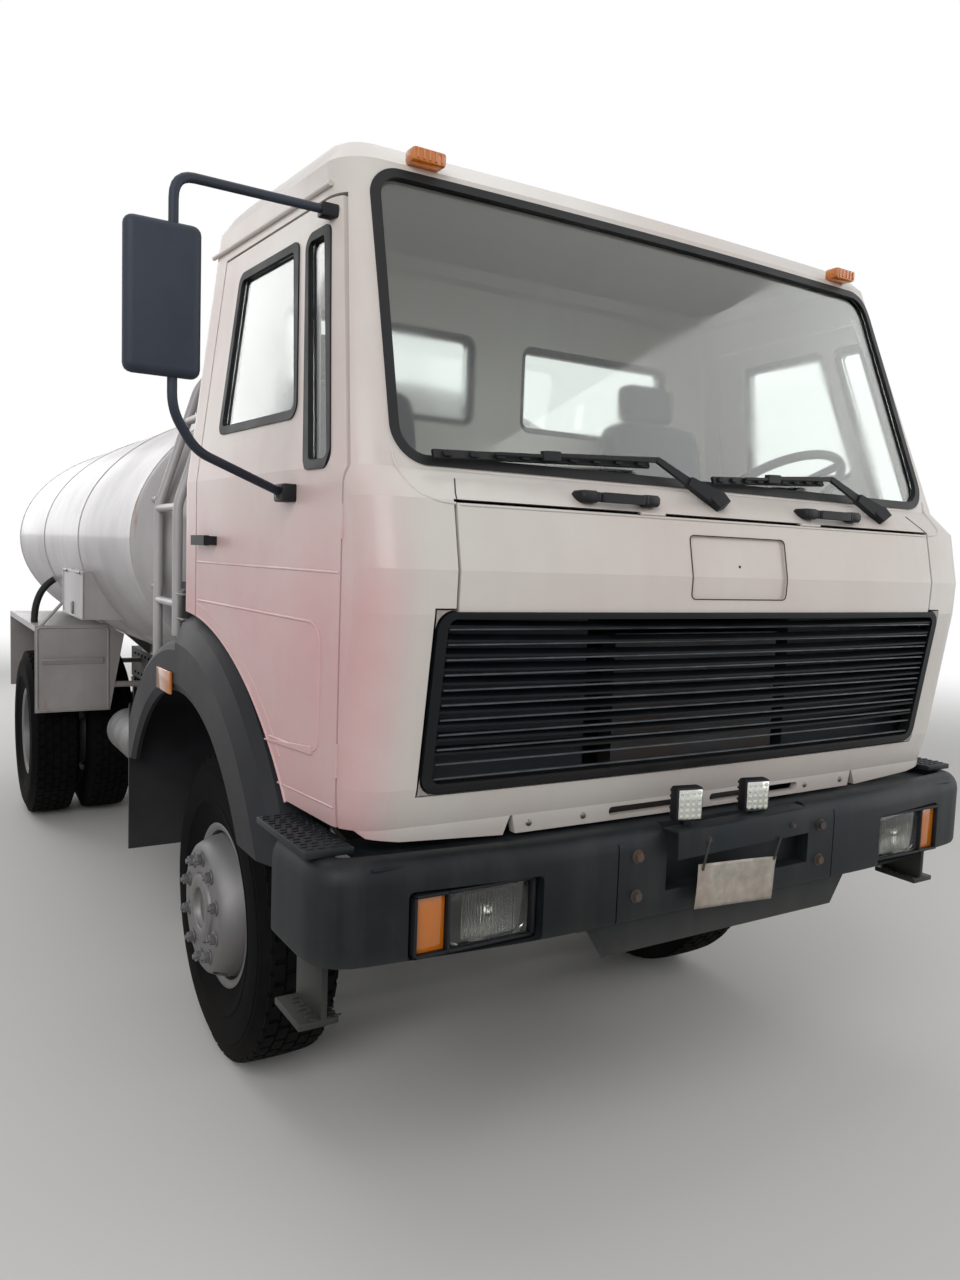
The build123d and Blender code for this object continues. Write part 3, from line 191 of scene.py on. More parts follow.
def plain_rays(tree):
    """1 for a ray that meets the plain background: from the camera, a mirror or through glass."""
    rays = add(tree, "ShaderNodeLightPath").outputs
    seen = rays["Is Camera Ray"]
    for kind in ("Is Transmission Ray", "Is Glossy Ray"):
        seen = add(tree, "ShaderNodeMath", {"operation": "MAXIMUM"}, {
            0: seen, 1: rays[kind]}).outputs[0]
    return seen


# Parts of a noise's range over which each kind of wear comes in
FADE_RANGE = (0.36, 0.66)
CLOUD_RANGE = (0.25, 0.75)
STREAK_RANGE = (0.5, 0.78)
RUST_RANGE = (0.63, 0.72)
GLOSS_RANGE = (0.3, 0.7)
# Stretch of a noise along X, Y and Z
STREAK_STRETCH = (14.0, 14.0, 0.7)
RUST_STRETCH = (7.0, 7.0, 1.6)
# Highest share of rust and of grime, and the relief of a grain for its width
RUST_SHARE = 0.75
GRIME_SHARE = 0.85
GRAIN_DEPTH = 0.15


def painted_pink_light_share(tree, place, patches):
    """Node with the share of painted pink light on the cab: cloudy, low down, on the right alone."""
    axes = add(tree, "ShaderNodeSeparateXYZ", {}, {0: place}).outputs
    share = add(tree, "ShaderNodeMapRange", {"interpolation_type": "SMOOTHSTEP"}, {
        0: axes[0], 1: at(-940, 0, 0).x, 2: at(-1085, 0, 0).x, 3: 0.0, 4: 1.0})
    low = add(tree, "ShaderNodeMapRange", {"interpolation_type": "SMOOTHSTEP"}, {
        0: axes[2], 1: 2.1, 2: 1.5, 3: 0.12, 4: 1.0})
    cloud = add(tree, "ShaderNodeMapRange", {}, {
        0: patches, 1: CLOUD_RANGE[0], 2: CLOUD_RANGE[1], 3: 0.45, 4: 1.0})
    for other in (low, cloud):
        share = add(tree, "ShaderNodeMath", {"operation": "MULTIPLY"}, {
            0: share.outputs[0], 1: other.outputs[0]})
    return share


def weathered(name, base, faded, grime, patch_mm, grain_mm, rough, low_z=None, streaks=0.0,
              metallic=0.0, coat=0.0, rust=None, shine=0.5, blush=None):
    """Painted or moulded surface with faded patches, run-down streaks, grime low down and, where
    given, painted pink light.
    """
    material, tree, shader = new_finish(name, Metallic=metallic, Coat_Weight=coat,
                                        Coat_Roughness=0.12, Specular_IOR_Level=shine)
    place = object_place(tree)
    patches = add(tree, "ShaderNodeTexNoise", {}, {
        "Vector": place, "Scale": 1000 / patch_mm, "Detail": 6.0, "Roughness": 0.62}).outputs[0]
    fade = add(tree, "ShaderNodeMapRange", {}, {
        0: patches, 1: FADE_RANGE[0], 2: FADE_RANGE[1], 3: 0.0, 4: 1.0})
    layers = [(fade, faded)]
    # Pink cast low on the cab's right side: painted light, not a colour of the paint
    if blush:
        layers.append((painted_pink_light_share(tree, place, patches), blush))
    if streaks > 0:
        runs = add(tree, "ShaderNodeTexNoise", {}, {
            "Vector": object_place(tree, STREAK_STRETCH), "Scale": 1.0, "Detail": 5.0})
        share = add(tree, "ShaderNodeMapRange", {}, {
            0: runs.outputs[0], 1: STREAK_RANGE[0], 2: STREAK_RANGE[1], 3: 0.0, 4: streaks})
        layers.append((share, grime))
    if rust:
        spots = add(tree, "ShaderNodeTexNoise", {}, {
            "Vector": object_place(tree, RUST_STRETCH), "Scale": 1.3, "Detail": 8.0,
            "Roughness": 0.7})
        share = add(tree, "ShaderNodeMapRange", {}, {
            0: spots.outputs[0], 1: RUST_RANGE[0], 2: RUST_RANGE[1], 3: 0.0, 4: RUST_SHARE})
        layers.append((share, rust))
    if low_z:
        height = add(tree, "ShaderNodeSeparateXYZ", {}, {0: place}).outputs[2]
        lowness = add(tree, "ShaderNodeMapRange", {}, {
            0: height, 1: low_z[0], 2: low_z[1], 3: GRIME_SHARE, 4: 0.0})
        share = add(tree, "ShaderNodeMath", {"operation": "MULTIPLY"}, {
            0: lowness.outputs[0], 1: patches})
        layers.append((share, grime))
    tone = colour_of(base)
    for share, colour in layers:
        tone = add(tree, "ShaderNodeMix", {"data_type": "RGBA"}, {
            0: share.outputs[0], 6: tone, 7: linear(colour)}).outputs[2]
    tree.links.new(tone, shader.inputs["Base Color"])
    gloss = add(tree, "ShaderNodeMapRange", {}, {
        0: patches, 1: GLOSS_RANGE[0], 2: GLOSS_RANGE[1], 3: rough[0], 4: rough[1]})
    tree.links.new(gloss.outputs[0], shader.inputs["Roughness"])
    grain = add(tree, "ShaderNodeTexNoise", {}, {
        "Vector": place, "Scale": 1000 / grain_mm, "Detail": 3.0})
    bump = add(tree, "ShaderNodeBump", {}, {
        "Strength": 0.25, "Distance": grain_mm * MM * GRAIN_DEPTH, "Height": grain.outputs[0]})
    tree.links.new(bump.outputs[0], shader.inputs["Normal"])
    return material


def clear_glass(name, tint, rough):
    """Float glass: clear with a green cast, a little dust on it."""
    material, tree, shader = new_finish(name, Base_Color=linear(tint), Transmission_Weight=1.0,
                                        IOR=1.5)
    dust = add(tree, "ShaderNodeTexNoise", {}, {
        "Vector": object_place(tree), "Scale": 3.0, "Detail": 6.0})
    share = add(tree, "ShaderNodeMapRange", {}, {
        0: dust.outputs[0], 1: 0.4, 2: 0.8, 3: rough, 4: rough + 0.12})
    tree.links.new(share.outputs[0], shader.inputs["Roughness"])
    return material


PRISM_MM = 7.0
# Scale of the waves that draw the cloth: one thread in about 6 mm
WEAVE_SCALE = 1000 / 18.84


def moulded_lens(name, colour, clear):
    """Injection-moulded acrylic lens with fine prisms inside."""
    material, tree, shader = new_finish(name, Base_Color=colour_of(colour), Roughness=0.12,
                                        Transmission_Weight=clear, IOR=1.49, Coat_Weight=0.6)
    prisms = add(tree, "ShaderNodeTexVoronoi", {"feature": "F1"}, {
        "Vector": object_place(tree), "Scale": 1000 / PRISM_MM})
    bump = add(tree, "ShaderNodeBump", {}, {
        "Strength": 0.35, "Distance": 0.001, "Height": prisms.outputs[0]})
    tree.links.new(bump.outputs[0], shader.inputs["Normal"])
    return material


def woven_cloth(name, colour):
    """Woven seat cloth: threads over and under, drawn wide enough to show."""
    material, tree, shader = new_finish(name, Roughness=0.92, Sheen_Weight=0.35)
    place = object_place(tree)
    across, along = (
        add(tree, "ShaderNodeTexWave", {"bands_direction": way}, {
            "Vector": place, "Scale": WEAVE_SCALE, "Distortion": 0.4}).outputs[1]
        for way in ("X", "Z"))
    threads = add(tree, "ShaderNodeMath", {"operation": "MULTIPLY"}, {
        0: across, 1: along}).outputs[0]
    light = colour_of(colour)
    dark = tuple(c * 0.55 for c in light[:3]) + (1.0,)
    tone = add(tree, "ShaderNodeMix", {"data_type": "RGBA"}, {0: threads, 6: dark, 7: light})
    tree.links.new(tone.outputs[2], shader.inputs["Base Color"])
    bump = add(tree, "ShaderNodeBump", {}, {
        "Strength": 0.4, "Distance": 0.0012, "Height": threads})
    tree.links.new(bump.outputs[0], shader.inputs["Normal"])
    return material


WEATHERED = (
    # (finish, material, base, faded and grime colours, patch and grain in mm, roughness, others)
    # Sprayed enamel gone chalky in the sun: soft sheen, faint warm patches, and a pink cast low on the
    # right side that is painted light
    ("cab", "Sprayed_Enamel_Cab", "cab", "#CBBFB9", "#8A7F76", 900, 5, (0.32, 0.5),
     dict(low_z=(1.0, 1.1), streaks=0.06, coat=0.15, shine=0.4, blush="#C99699")),
    # The same enamel over rolled steel, with dust and rust runs; its grey lies below the white enamel
    # as painted shade of the tank's shaded flank
    ("tank", "Sprayed_Enamel_Tank", "tank", "#969193", "#7E746C", 1300, 6, (0.35, 0.55),
     dict(low_z=(0.9, 1.5), streaks=0.22, coat=0.15, rust="#9B6A4C")),
    # Black brushed-on enamel under road dust
    ("chassis", "Black_Enamel_Frame", "chassis", "#2A2929", "#4E4842", 320, 4, (0.5, 0.8),
     dict(low_z=(0.25, 1.1), streaks=0.2, shine=0.15)),
    # Aluminium-pigment wheel paint, dull with brake dust
    ("wheel", "Silver_Wheel_Paint", "wheel", "#7F7D7C", "#5E564F", 160, 3, (0.38, 0.62),
     dict(low_z=(0.2, 0.75), metallic=0.55)),
    # Forged iron with old grease
    ("iron", "Forged_Iron", "#3A3836", "#5B4A3E", "#6A625A", 140, 3, (0.55, 0.8),
     dict(low_z=(0.2, 0.8), metallic=0.4)),
    # Carbon-black tyre rubber, greyed by dust
    ("tyre", "Tyre_Rubber", "#0C0C0E", "#151414", "#2B2825", 110, 2, (0.8, 0.95),
     dict(low_z=(0.0, 0.3), shine=0.05)),
    # Extruded EPDM window rubber
    ("rubber", "EPDM_Rubber", "#0A0B0D", "#121316", "#3A3733", 240, 2, (0.45, 0.65),
     dict(shine=0.3)),
    # Grained black ABS
    ("plastic", "Grained_ABS", "#101114", "#1B1C1F", "#3E3A36", 260, 1.6, (0.42, 0.62),
     dict(shine=0.25)),
    # Blue-black moulding of the mirror
    ("mirror_housing", "Moulded_Mirror_Housing", "#222732", "#2E3440", "#3C414B", 240, 1.5,
     (0.45, 0.62), dict(shine=0.3)),
    # Black polypropylene mudguard, greyed by sun and road dust
    ("flare", "Polypropylene_Mudguard", "#141519", "#222328", "#403E3B", 420, 2.5,
     (0.45, 0.65), dict(low_z=(0.5, 1.0), streaks=0.1, shine=0.22)),
    # Worn black paint on a pressed steel bumper
    ("bumper", "Worn_Bumper_Paint", "bumper", "#1F2427", "#4C4A46", 300, 3, (0.4, 0.6),
     dict(low_z=(0.7, 0.85), streaks=0.18, shine=0.2)),
    # Glass-filled grille moulding, and the pale strips on its louvres' front edges, a painted
    # highlight
    ("grille", "Grille_Moulding", "#05080B", "#0A0E12", "#2E2C2A", 200, 2, (0.4, 0.6),
     dict(low_z=(1.1, 1.35), streaks=0.1, shine=0.2)),
    ("louvre_edge", "Worn_Louvre_Edge", "#454B50", "#23282D", "#6A6660", 70, 2, (0.4, 0.6), {}),
    # Grey-black dashboard foam skin
    ("dash", "Dashboard_Skin", "#34373C", "#45484C", "#5A554E", 300, 1.8, (0.6, 0.8),
     dict(shine=0.25)),
    # Die-cast aluminium, dull
    ("aluminium", "Cast_Aluminium", "#8E8F91", "#6F6E6C", "#5E564F", 180, 2.5, (0.4, 0.65),
     dict(low_z=(0.3, 0.9), metallic=0.8)),
    # Cast iron under oil and dust
    ("engine", "Oily_Cast_Iron", "#33363A", "#4A4038", "#5C534A", 220, 4, (0.45, 0.75),
     dict(low_z=(0.4, 1.0), metallic=0.3)),
    # Aluminised exhaust steel going brown
    ("exhaust", "Aluminised_Steel", "#5A544E", "#6E4A35", "#4A4540", 150, 3, (0.5, 0.8),
     dict(low_z=(0.3, 0.9), metallic=0.6, rust="#7A4527")),
    # Zinc-plated fasteners, half dull, and painted ones
    ("zinc", "Zinc_Plate", "#7E7B76", "#5E5851", "#4A433C", 30, 1, (0.35, 0.6),
     dict(metallic=0.85)),
    ("nut", "Painted_Wheel_Nuts", "#77777A", "#5C5B5C", "#4A4743", 60, 1, (0.35, 0.55),
     dict(metallic=0.5)),
    # Vapour-coated bowl of a lamp
    ("chrome", "Bright_Reflector", "#D5D6D6", "#BFC0C0", "#8C8C8C", 60, 0.8, (0.08, 0.2),
     dict(metallic=1.0)),
    # Black hose rubber
    ("hose", "Hose_Rubber", "#18191B", "#2A2A2B", "#4A4642", 60, 1.5, (0.5, 0.7),
     dict(shine=0.25)),
    # Steel plate whose paint has peeled to rust and bare metal
    ("plate", "Peeling_Plate_Paint", "#B2A9A0", "#8D948A", "#7B5A4A", 60, 3, (0.4, 0.75),
     dict(low_z=(0.7, 1.05), streaks=0.5, metallic=0.25, rust="#7E5442")),
    # Dirt in a seam
    ("gap", "Dark_Seam", "#2C2A29", "#3A3634", "#4A4540", 80, 2, (0.7, 0.9), {}),
)
FINISHES = {}


def make_finishes():
    """All the finishes, by the name that the pieces use."""
    for finish, *values, others in WEATHERED:
        FINISHES[finish] = weathered(*values, **others)
    FINISHES.update({
        "glass": clear_glass("Float_Glass", "#F1F6F3", 0.02),
        "lamp_glass": clear_glass("Pressed_Lamp_Glass", "#F2F3EE", 0.03),
        "mirror": new_finish("Silvered_Mirror", Base_Color=linear("#C9CED2"), Metallic=1.0,
                             Roughness=0.04)[0],
        "amber": moulded_lens("Amber_Acrylic", "amber", 0.35),
        "red": moulded_lens("Red_Acrylic", "red", 0.25),
        "led": moulded_lens("Clear_LED_Lens", "#E4E6D2", 0.3),
        "cloth": woven_cloth("Woven_Seat_Cloth", "cloth"),
    })


NODE_FINISH = {
    "cab": ("cab_shell", "door_right_panel", "door_left_panel", "flap_panel"),
    "tank": ("tank", "manhole_lid", "tank_cradle", "side_locker", "ladder", "rear_mudguards"),
    "chassis": ("frame", "crossmembers", "rear_crossmember", "cab_mounts", "underrun_bar",
                "leaf_springs", "fuel_tank", "battery_box"),
    "rubber": ("door_right_trim", "door_left_trim", "window_seals"),
    "plastic": ("mirror_right", "wipers", "grab_handles", "work_lamps", "air_intake",
                "steering_wheel"),
    "flare": ("flares",),
    "bumper": ("bumper",),
    "grille": ("grille",),
    "glass": ("door_right_glass", "door_left_glass", "windscreen", "rear_windows"),
    "dash": ("cab_floor", "dashboard"),
    "wheel": ("wheel_front_left", "wheel_front_right", "wheels_rear_left", "wheels_rear_right"),
    "tyre": ("tyre_front_left", "tyre_front_right", "tyres_rear_left", "tyres_rear_right"),
    "iron": ("front_axle", "rear_axle", "knuckle_left", "knuckle_right", "track_rod"),
    "engine": ("powertrain",),
    "exhaust": ("silencer", "discharge_pipe"),
    "aluminium": ("air_tanks",),
    "amber": ("amber_lamps",),
    "lamp_glass": ("headlamps",),
    "red": ("tail_lamps",),
    "cloth": ("seats",),
    "hose": ("hose",),
}


# Mesh helpers

def put_object(name, data):
    """Object of a mesh, curve, lamp or camera, in the scene."""
    made = bpy.data.objects.new(name, data)
    bpy.context.scene.collection.objects.link(made)
    return made


def mesh_of(name, bm):
    """Mesh made from a bmesh, which is freed."""
    mesh = bpy.data.meshes.new(name)
    bm.to_mesh(mesh)
    bm.free()
    return mesh


def edges_of(verts):
    """Edges of some vertices, each once and in a fixed order."""
    return list(dict.fromkeys(edge for vertex in verts for edge in vertex.link_edges))


def put_box(bm, low, high, bevel=0.0, segments=2):
    """Box between two points, its edges bevelled."""
    low, high = Vector(low), Vector(high)
    size = high - low
    made = bmesh.ops.create_cube(bm, size=1.0, matrix=Matrix.Translation((low + high) / 2)
                                 @ Matrix.Diagonal((*size, 1.0)))
    if bevel > 0:
        bmesh.ops.bevel(bm, geom=edges_of(made["verts"]), offset=bevel, segments=segments,
                        profile=0.5, affect="EDGES", material=-1)
    return made["verts"]


def put_block(bm, low, high, bevel=0.0, segments=2, side=1):
    """Box between two places in millimetres, mirrored where the side is -1."""
    x_low, x_high = sorted((side * low[0], side * high[0]))
    put_box(bm, at(x_low, *low[1:]), at(x_high, *high[1:]), bevel, segments)


def turned(centre, axis):
    """Matrix that puts +Z along an axis at a point."""
    return Matrix.Translation(centre) @ Vector(axis).to_track_quat("Z", "Y").to_matrix().to_4x4()


def put_bar(bm, start, end, wide_start, wide_end, deep, front=(0, -1, 0)):
    """Flat tapered bar between two points, its flat side to the front."""
    start, end = Vector(start), Vector(end)
    along = (end - start).normalized()
    across = along.cross(Vector(front)).normalized()
    away = across.cross(along)
    corners = [bm.verts.new(place + across * (wide / 2 * i) + away * (deep / 2 * j))
               for place, wide in ((start, wide_start), (end, wide_end))
               for i in (-1, 1) for j in (-1, 1)]
    bmesh.ops.convex_hull(bm, input=corners)


def put_cone(bm, place, segments, radius_low, radius_high, depth):
    """Closed cone or rod about a matrix's Z axis."""
    bmesh.ops.create_cone(bm, cap_ends=True, segments=segments, radius1=radius_low,
                          radius2=radius_high, depth=depth, matrix=place)


def put_bolt(bm, centre, axis, width, height=None, stud=0.0):
    """Hexagon head with a washer, standing on a surface, and a stud end if it has one."""
    height = width * 0.4 if height is None else height
    place = turned(centre, axis)
    layers = (
        # (segments, low and high radius for the bolt's width, depth, middle's height)
        (16, 0.68, 0.66, height * 0.3, height * 0.15),
        (6, 0.5, 0.47, height, height * 0.8),
        (12, 0.26, 0.22, stud, height + stud / 2),
    )
    for segments, radius_low, radius_high, depth, middle in layers:
        if depth > 0:
            put_cone(bm, place @ Matrix.Translation((0, 0, middle)), segments,
                     width * radius_low, width * radius_high, depth)


def put_dome(bm, centre, axis, radius, flat=0.5):
    """Flattened dome on a surface, such as a rivet or an LED's lens."""
    bmesh.ops.create_uvsphere(bm, u_segments=10, v_segments=6, radius=radius,
                              matrix=turned(centre, axis) @ Matrix.Diagonal((1, 1, flat, 1)))


def spin_ring(bm, profile, centre, side, steps):
    """Closed profile of (x outwards, radius) millimetres, spun about the wheel's axle."""
    loop = [bm.verts.new(centre + Vector((side * x * MM, 0, r * MM))) for x, r in profile]
    edges = [bm.edges.new((loop[i], loop[(i + 1) % len(loop)])) for i in range(len(loop))]
    bmesh.ops.spin(bm, geom=loop + edges, cent=centre, axis=(1, 0, 0), angle=math.tau,
                   steps=steps, use_merge=True)


def sweep(bm, outline, path):
    """Closed outline of (outwards, height) drawn along a level path of (x, y), ends closed."""
    points = [Vector(p) for p in path]
    verts, edges = [], []
    for i, here in enumerate(points):
        before, after = points[max(i - 1, 0)], points[min(i + 1, len(points) - 1)]
        along = (after - before).normalized()
        out = Vector((along.y, -along.x))
        ring = [at(here.x + out.x * o, here.y + out.y * o, h) for o, h in outline]
        if not verts:
            verts = [bm.verts.new(p) for p in ring]
            edges = [bm.edges.new((verts[k - 1], verts[k])) for k in range(len(verts))]
            bmesh.ops.contextual_create(bm, geom=edges)
            continue
        grown = bmesh.ops.extrude_edge_only(bm, edges=edges)["geom"]
        new = {g for g in grown if isinstance(g, bmesh.types.BMVert)}
        verts = [next(e.other_vert(v) for e in v.link_edges if e.other_vert(v) in new)
                 for v in verts]
        edges = [g for g in grown if isinstance(g, bmesh.types.BMEdge)
                 and g.verts[0] in new and g.verts[1] in new]
        for vertex, place in zip(verts, ring):
            vertex.co = place
    bmesh.ops.contextual_create(bm, geom=edges)


MERGE_DISTANCE = 1e-6
EDGE_ANGLE = math.radians(35)
CUT_ANGLE = math.radians(30)


def settle(piece):
    """Turn a piece's modifiers into its mesh."""
    graph = bpy.context.evaluated_depsgraph_get()
    mesh = bpy.data.meshes.new_from_object(piece.evaluated_get(graph))
    old = piece.data
    piece.modifiers.clear()
    piece.data = mesh
    bpy.data.meshes.remove(old)
    mesh.name = piece.name
    mesh.shade_smooth()
    mesh.set_sharp_from_angle(angle=CUT_ANGLE)


def cut_by(piece, bm):
    """Cut a mesh's volume out of a piece, after the piece's other modifiers."""
    bmesh.ops.recalc_face_normals(bm, faces=bm.faces)
    mesh = mesh_of("cutter", bm)
    cutter = put_object("cutter", mesh)
    cut = piece.modifiers.new("Cut", "BOOLEAN")
    cut.object = cutter
    cut.solver = "EXACT"
    settle(piece)
    bpy.data.objects.remove(cutter)
    bpy.data.meshes.remove(mesh)


def make_piece(name, bm, finish, body="chassis", replaces=(), merge=True, **look):
    """Object from a bmesh, with its finish, riding on a body."""
    if merge:
        bmesh.ops.remove_doubles(bm, verts=bm.verts, dist=MERGE_DISTANCE)
    bmesh.ops.recalc_face_normals(bm, faces=bm.faces)
    return finish_piece(name, mesh_of(name, bm), finish, body, replaces, **look)


def finish_piece(name, mesh, finish, body, replaces=(), bevel=0.0, sheet=0.0, smoothing=0,
                 angle=EDGE_ANGLE):
    """Object from a mesh, with its finish and its closing modifiers, riding on a body."""
    piece = put_object(name, mesh)
    mesh.materials.append(FINISHES[finish])
    if sheet > 0:
        wall = piece.modifiers.new("Sheet", "SOLIDIFY")
        wall.thickness = sheet
        wall.offset = -1.0
    if bevel > 0:
        edge = piece.modifiers.new("Edges", "BEVEL")
        edge.width = bevel
        edge.segments = 2
        edge.limit_method = "ANGLE"
        edge.angle_limit = EDGE_ANGLE
    if smoothing:
        rounded = piece.modifiers.new("Rounding", "SUBSURF")
        rounded.levels = smoothing
        rounded.render_levels = smoothing
    mesh.shade_smooth()
    mesh.set_sharp_from_angle(angle=angle)
    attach(piece, body)
    if replaces:
        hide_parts(*replaces)
    return piece


def block_piece(name, finish, blocks, body="chassis", replaces=(), sides=(1,), merge=True):
    """Piece of boxes, from rows of two corners in millimetres, a bevel and its segments."""
    bm = bmesh.new()
    for side in sides:
        for low, high, *edge in blocks:
            put_block(bm, low, high, *edge, side=side)
    return make_piece(name, bm, finish, body, replaces, merge)


def round_line(name, kind, places, radius, rings):
    """Curve through places with a round section and closed ends, and its spline."""
    line = bpy.data.curves.new(name, "CURVE")
    line.dimensions = "3D"
    line.bevel_depth = radius
    line.bevel_resolution = rings
    line.use_fill_caps = True
    spline = line.splines.new(kind)
    spline.points.add(len(places) - 1)
    for point, place in zip(spline.points, places):
        point.co = (*place, 1.0)
    return line, spline


def bent_tube(name, points, radius, finish, body="chassis", bend=0.0, closed=False):
    """Round bar through points, as a mesh made from a bevelled curve."""
    route = soften(points, bend) if bend > 0 else points
    line, spline = round_line(name + "_line", "POLY", route, radius, 4)
    spline.use_cyclic_u = closed
    carrier = bpy.data.objects.new(name + "_line", line)
    mesh = bpy.data.meshes.new_from_object(carrier)
    bpy.data.objects.remove(carrier)
    mesh.name = name
    return finish_piece(name, mesh, finish, body)


def soften(points, bend):
    """Route whose corners are rounded by short arcs."""
    route = [Vector(points[0])]
    for before, corner, after in zip(points, points[1:], points[2:]):
        before, corner, after = Vector(before), Vector(corner), Vector(after)
        inward = (before - corner).normalized() * min(bend, (before - corner).length * 0.45)
        outward = (after - corner).normalized() * min(bend, (after - corner).length * 0.45)
        for k in range(7):
            t = k / 6
            route.append(corner + inward * (1 - t) ** 2 + outward * t ** 2)
    route.append(Vector(points[-1]))
    return route


SIDES = ((-1, "right"), (1, "left"))

# The cab's form, as the solids have it, in millimetres

CAB_FRONT = (
    # (z, y) down the middle of the cab's front
    (1045, -1222), (1092, -1222), (1190, -1250), (1600, -1312),
    (1700, -1316), (1858, -1284), (1930, -1200), (2705, -925),
)
# How far the front falls back from its middle to its corners
FRONT_CROWN = 26.0
# The side's X at the front axle, its taper forwards, and its lean above the belt line
SIDE_AT_AXLE = 1160.0
SIDE_TAPER = 0.0595
BELT_Z = 1995.0
SIDE_LEAN = 0.14


def front_y(x, z):
    """The cab front's Y at a place, in millimetres."""
    for (z0, y0), (z1, y1) in zip(CAB_FRONT, CAB_FRONT[1:]):
        if z <= z1:
            middle = y0 + (y1 - y0) * (z - z0) / (z1 - z0)
            break
    half = side_x(middle + FRONT_CROWN, z)
    return middle + FRONT_CROWN * (x / half) ** 2


def side_x(y, z):
    """The cab side's X at a place, in millimetres."""
    return SIDE_AT_AXLE + SIDE_TAPER * y - SIDE_LEAN * max(0.0, z - BELT_Z)


def on_side(side, y, z, off=0.0):
    """Point on the cab's side, standing off it."""
    return at(side * (side_x(y, z) + off), y, z)


def on_front(x, z, off=0.0):
    """Point on the cab's front, standing off it."""
    return at(x, front_y(x, z) - off, z)


WHITE = linear("#FFFFFF")
FLOOR_SIZE = 60.0
# Distance in metres over which the floor goes over to the plain background
FLOOR_FADE = (5.0, 15.0)
CAMERA_PLACE = (-1970, -3158, 1734.5)
# Yaw towards the truck's left, pitch and roll of the camera, in degrees
CAMERA_TURN = (31.81, -5.02, -2.09)
FOCAL_PIXELS = 959.5
LONG_SIDE_PIXELS = 1280
STAGE_LAMPS = (
    # (name, place in millimetres, size in metres, power in watts)
    ("key", (-5200, -5200, 5200), 5.0, 300.0),
    ("fill", (5200, -4200, 3600), 6.0, 150.0),
    ("top", (0, 1500, 7500), 7.0, 120.0),
    ("rear", (-2500, 8500, 4200), 5.0, 170.0),
)
LAMP_AIM = (0, 600, 1100)
AMBIENT_STRENGTH = 0.30


class StageOperator(bpy.types.Operator):
    """Camera, floor, lights and plain white surroundings"""
    bl_idname = "tanker.stage"
    bl_label = "Stage"

    def execute(self, context):
        context.scene.view_settings.view_transform = "Standard"
        self.add_camera(context.scene)
        bm = bmesh.new()
        bmesh.ops.create_grid(bm, x_segments=1, y_segments=1, size=FLOOR_SIZE)
        floor = put_object("floor", mesh_of("floor", bm))
        floor.data.materials.append(self.floor_finish())
        self.add_lights()
        self.add_surroundings(context.scene)
        return {"FINISHED"}

    def floor_finish(self):
        """Pale matt floor that goes over to the plain background away from the truck."""
        material, tree, shader = new_finish("Pale_Floor", Roughness=0.9,
                                            Base_Color=linear("#D6D5D3"))
        place = add(tree, "ShaderNodeTexCoord").outputs["Object"]
        away = add(tree, "ShaderNodeVectorMath", {"operation": "LENGTH"}, {0: place})
        share = add(tree, "ShaderNodeMapRange", {"interpolation_type": "SMOOTHSTEP"}, {
            0: away.outputs["Value"], 1: FLOOR_FADE[0], 2: FLOOR_FADE[1], 3: 0.0, 4: 1.0})
        plain = add(tree, "ShaderNodeEmission", {}, {
            "Color": WHITE, "Strength": plain_rays(tree)})
        both = add(tree, "ShaderNodeMixShader", {}, {
            0: share.outputs[0], 1: shader.outputs[0], 2: plain.outputs[0]})
        tree.links.new(both.outputs[0], tree.nodes["Material Output"].inputs[0])
        return material

    def add_camera(self, scene):
        """Camera at the photograph's place, level and angle."""
        data = bpy.data.cameras.new("camera")
        camera = put_object("camera", data)
        yaw, pitch, roll = (math.radians(a) for a in CAMERA_TURN)
        forward = Vector((math.sin(yaw) * math.cos(pitch), math.cos(yaw) * math.cos(pitch),
                          math.sin(pitch)))
        level = Vector((math.cos(yaw), -math.sin(yaw), 0))
        down = forward.cross(level)
        right = math.cos(roll) * level + math.sin(roll) * down
        up = math.sin(roll) * level - math.cos(roll) * down
        turn = Matrix((right, up, -forward)).transposed().to_4x4()
        camera.matrix_world = Matrix.Translation(at(*CAMERA_PLACE)) @ turn
        data.lens = FOCAL_PIXELS / LONG_SIDE_PIXELS * data.sensor_width
        data.clip_start = 0.05
        data.clip_end = 200
        scene.camera = camera

    def add_lights(self):
        """Large soft lamps: a key in front on the right, a fill on the left, one above, one behind."""
        for name, place, size, power in STAGE_LAMPS:
            data = bpy.data.lights.new(name, "AREA")
            data.size = size
            data.energy = power
            turn = (at(*LAMP_AIM) - at(*place)).to_track_quat("-Z", "Y").to_matrix().to_4x4()
            put_object(name, data).matrix_world = Matrix.Translation(at(*place)) @ turn

    def add_surroundings(self, scene):
        """White to the camera, in mirrors and through glass, a plain grey light otherwise."""
        world = bpy.data.worlds.new("surroundings")
        world.use_nodes = True
        tree = world.node_tree
        tree.nodes.clear()
        strength = add(tree, "ShaderNodeMapRange", {}, {
            0: plain_rays(tree), 1: 0.0, 2: 1.0, 3: AMBIENT_STRENGTH, 4: 1.0})
        background = add(tree, "ShaderNodeBackground", {}, {
            "Color": WHITE, "Strength": strength.outputs[0]})
        out = add(tree, "ShaderNodeOutputWorld")
        tree.links.new(background.outputs[0], out.inputs[0])
        scene.world = world


class FinishesOperator(bpy.types.Operator):
    """Give every solid of the frame its finish"""
    bl_idname = "tanker.finishes"
    bl_label = "Finishes"

    def execute(self, context):
        make_finishes()
        for finish, nodes in NODE_FINISH.items():
            for node in nodes:
                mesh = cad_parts[node].data
                mesh.materials.clear()
                mesh.materials.append(FINISHES[finish])
        return {"FINISHED"}


# Tyres and wheels, in millimetres

